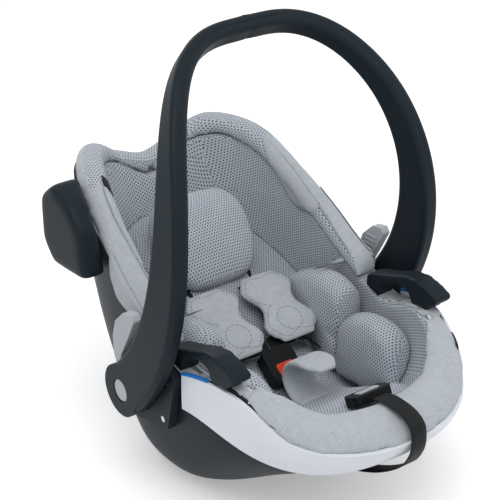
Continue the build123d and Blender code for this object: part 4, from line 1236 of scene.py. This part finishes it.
def sewn_tab(name, cloth, middle, along, up):
    """A small ribbon tab that lies on a piece of cloth."""
    surface = surface_of(cloth)
    shares = [step / TAB_STEPS - 0.5 for step in range(TAB_STEPS + 1)]
    rows = []
    for rise in shares:
        row = []
        for run in shares:
            spot = middle + along * (TAB_SIZE[0] * run) + up * (TAB_SIZE[1] * rise)
            hit, normal, _, _ = surface.find_nearest(spot)
            row.append(hit + normal * TAB_LIFT)
        rows.append(row)
    tab = cloth_sheet(name, rows, label_cloth, TAB_THICK)
    lay_cloth(tab, along.cross(up).normalized(), along)
    mount(tab, "seat", "webbing")


tab_below, tab_place, tab_above = (
    ridge_at(ridges["left"], WING_TAB_Y + reach) for reach in (-CREST_REACH, 0.0, CREST_REACH)
)
tab_inward = inward_at(tab_place)
tab_middle = tab_place + tab_inward * (TAB_SIZE[0] / 2)
sewn_tab("wing_tab", sewn["wing_cover_left"], tab_middle, tab_inward, (tab_above - tab_below).normalized())
sewn_tab("rim_tab", sewn["foot_cover"], RIM_TAB_PLACE, RIM_TAB_ALONG, RIM_TAB_UP)
print("tabs of", [round(size / MM) for size in TAB_SIZE], "mm")

# %% [markdown]
# ## Webbing straps
# The harness is flat webbing, which a voxel remesh would erase, so each strap is a ribbon swept along its
# line: a flat profile with rounded edges, kept upright by the direction that its width takes.


# %% Strap helper
def ribbon(name, line, sideways, width, thickness, material):
    """A flat strap with rounded edges along a line; U runs across it and V along it, in metres."""
    half, edge = width / 2, thickness / 2
    profile = [
        (-half, 0.0), (-half + edge, edge), (-half / 3, edge), (half / 3, edge), (half - edge, edge),
        (half, 0.0), (half - edge, -edge), (half / 3, -edge), (-half / 3, -edge), (-half + edge, -edge),
    ]
    points, run = [], [0.0]
    for at, place in enumerate(line):
        lift = sideways.cross(way_along(line, at)).normalized()
        points += [place + sideways * u + lift * v for u, v in profile]
        run.append(run[-1] + (line[min(at + 1, len(line) - 1)] - place).length)
    count = len(profile)
    strap = mesh_piece(name, points, rings(len(line), count), material)
    lay_by_point(strap, lambda point: (profile[point % count][0], run[point // count]))
    return strap


print("flat straps are swept along smooth lines")

# %% [markdown]
# ## Lines of the harness
# Five-point harness: two shoulder straps, two lap straps and one strap between the legs meet at the buckle,
# and a tail hangs over the foot rim from the adjuster. The lines are the middle lines of the CAD straps, so
# each webbing takes the place of its solid.

# %% Weave the straps
STRAP_WIDTH = 30.0 * MM
STRAP_THICKNESS = 2.0 * MM
SHOULDER_X = 36.0
SHOULDER_LINE = [(-23.3, 173.1), (16.0, 193.0), (56.2, 212.0), (62.0, 209.6), (72.9, 203.4)]
LAP_LINE = [(44.6, 167.0), (66.0, 158.0), (85.0, 138.0)]
LAP_Y = -32.0
CROTCH_LINE = [(-106.0, 114.5), (-95.0, 122.6), (-83.8, 130.7)]
ADJUSTER_WIDTH = 26.0 * MM
ADJUSTER_LINE = [
    (-271.0, 205.0), (-290.0, 210.0), (-322.0, 209.0), (-342.0, 199.0), (-347.5, 180.0),
    (-344.0, 158.0), (-328.0, 132.0), (-290.0, 102.0), (-245.0, 79.0), (-205.0, 69.0),
]

straps = {
    "crotch_strap": (smooth_line(side_points(CROTCH_LINE), 6), RIGHT, STRAP_WIDTH),
    "adjuster_strap": (smooth_line(side_points(ADJUSTER_LINE), 8), RIGHT, ADJUSTER_WIDTH),
}
for side, sign in SIDES:
    shoulder = side_points(SHOULDER_LINE, sign * SHOULDER_X)
    straps["shoulder_strap_" + side] = (smooth_line(shoulder, 6), RIGHT, STRAP_WIDTH)
    lap = [Vector((sign * x, LAP_Y, z)) * MM for x, z in LAP_LINE]
    straps["lap_strap_" + side] = (smooth_line(lap, 8), AHEAD, STRAP_WIDTH)

for node, (line, sideways, width) in straps.items():
    strap = ribbon(node + "_webbing", line, sideways, width, STRAP_THICKNESS, webbing)
    mount(strap, "seat", "webbing", node)
    length = sum((b - a).length for a, b in zip(line, line[1:]))
    print(node, "runs", round(length / MM), "mm")
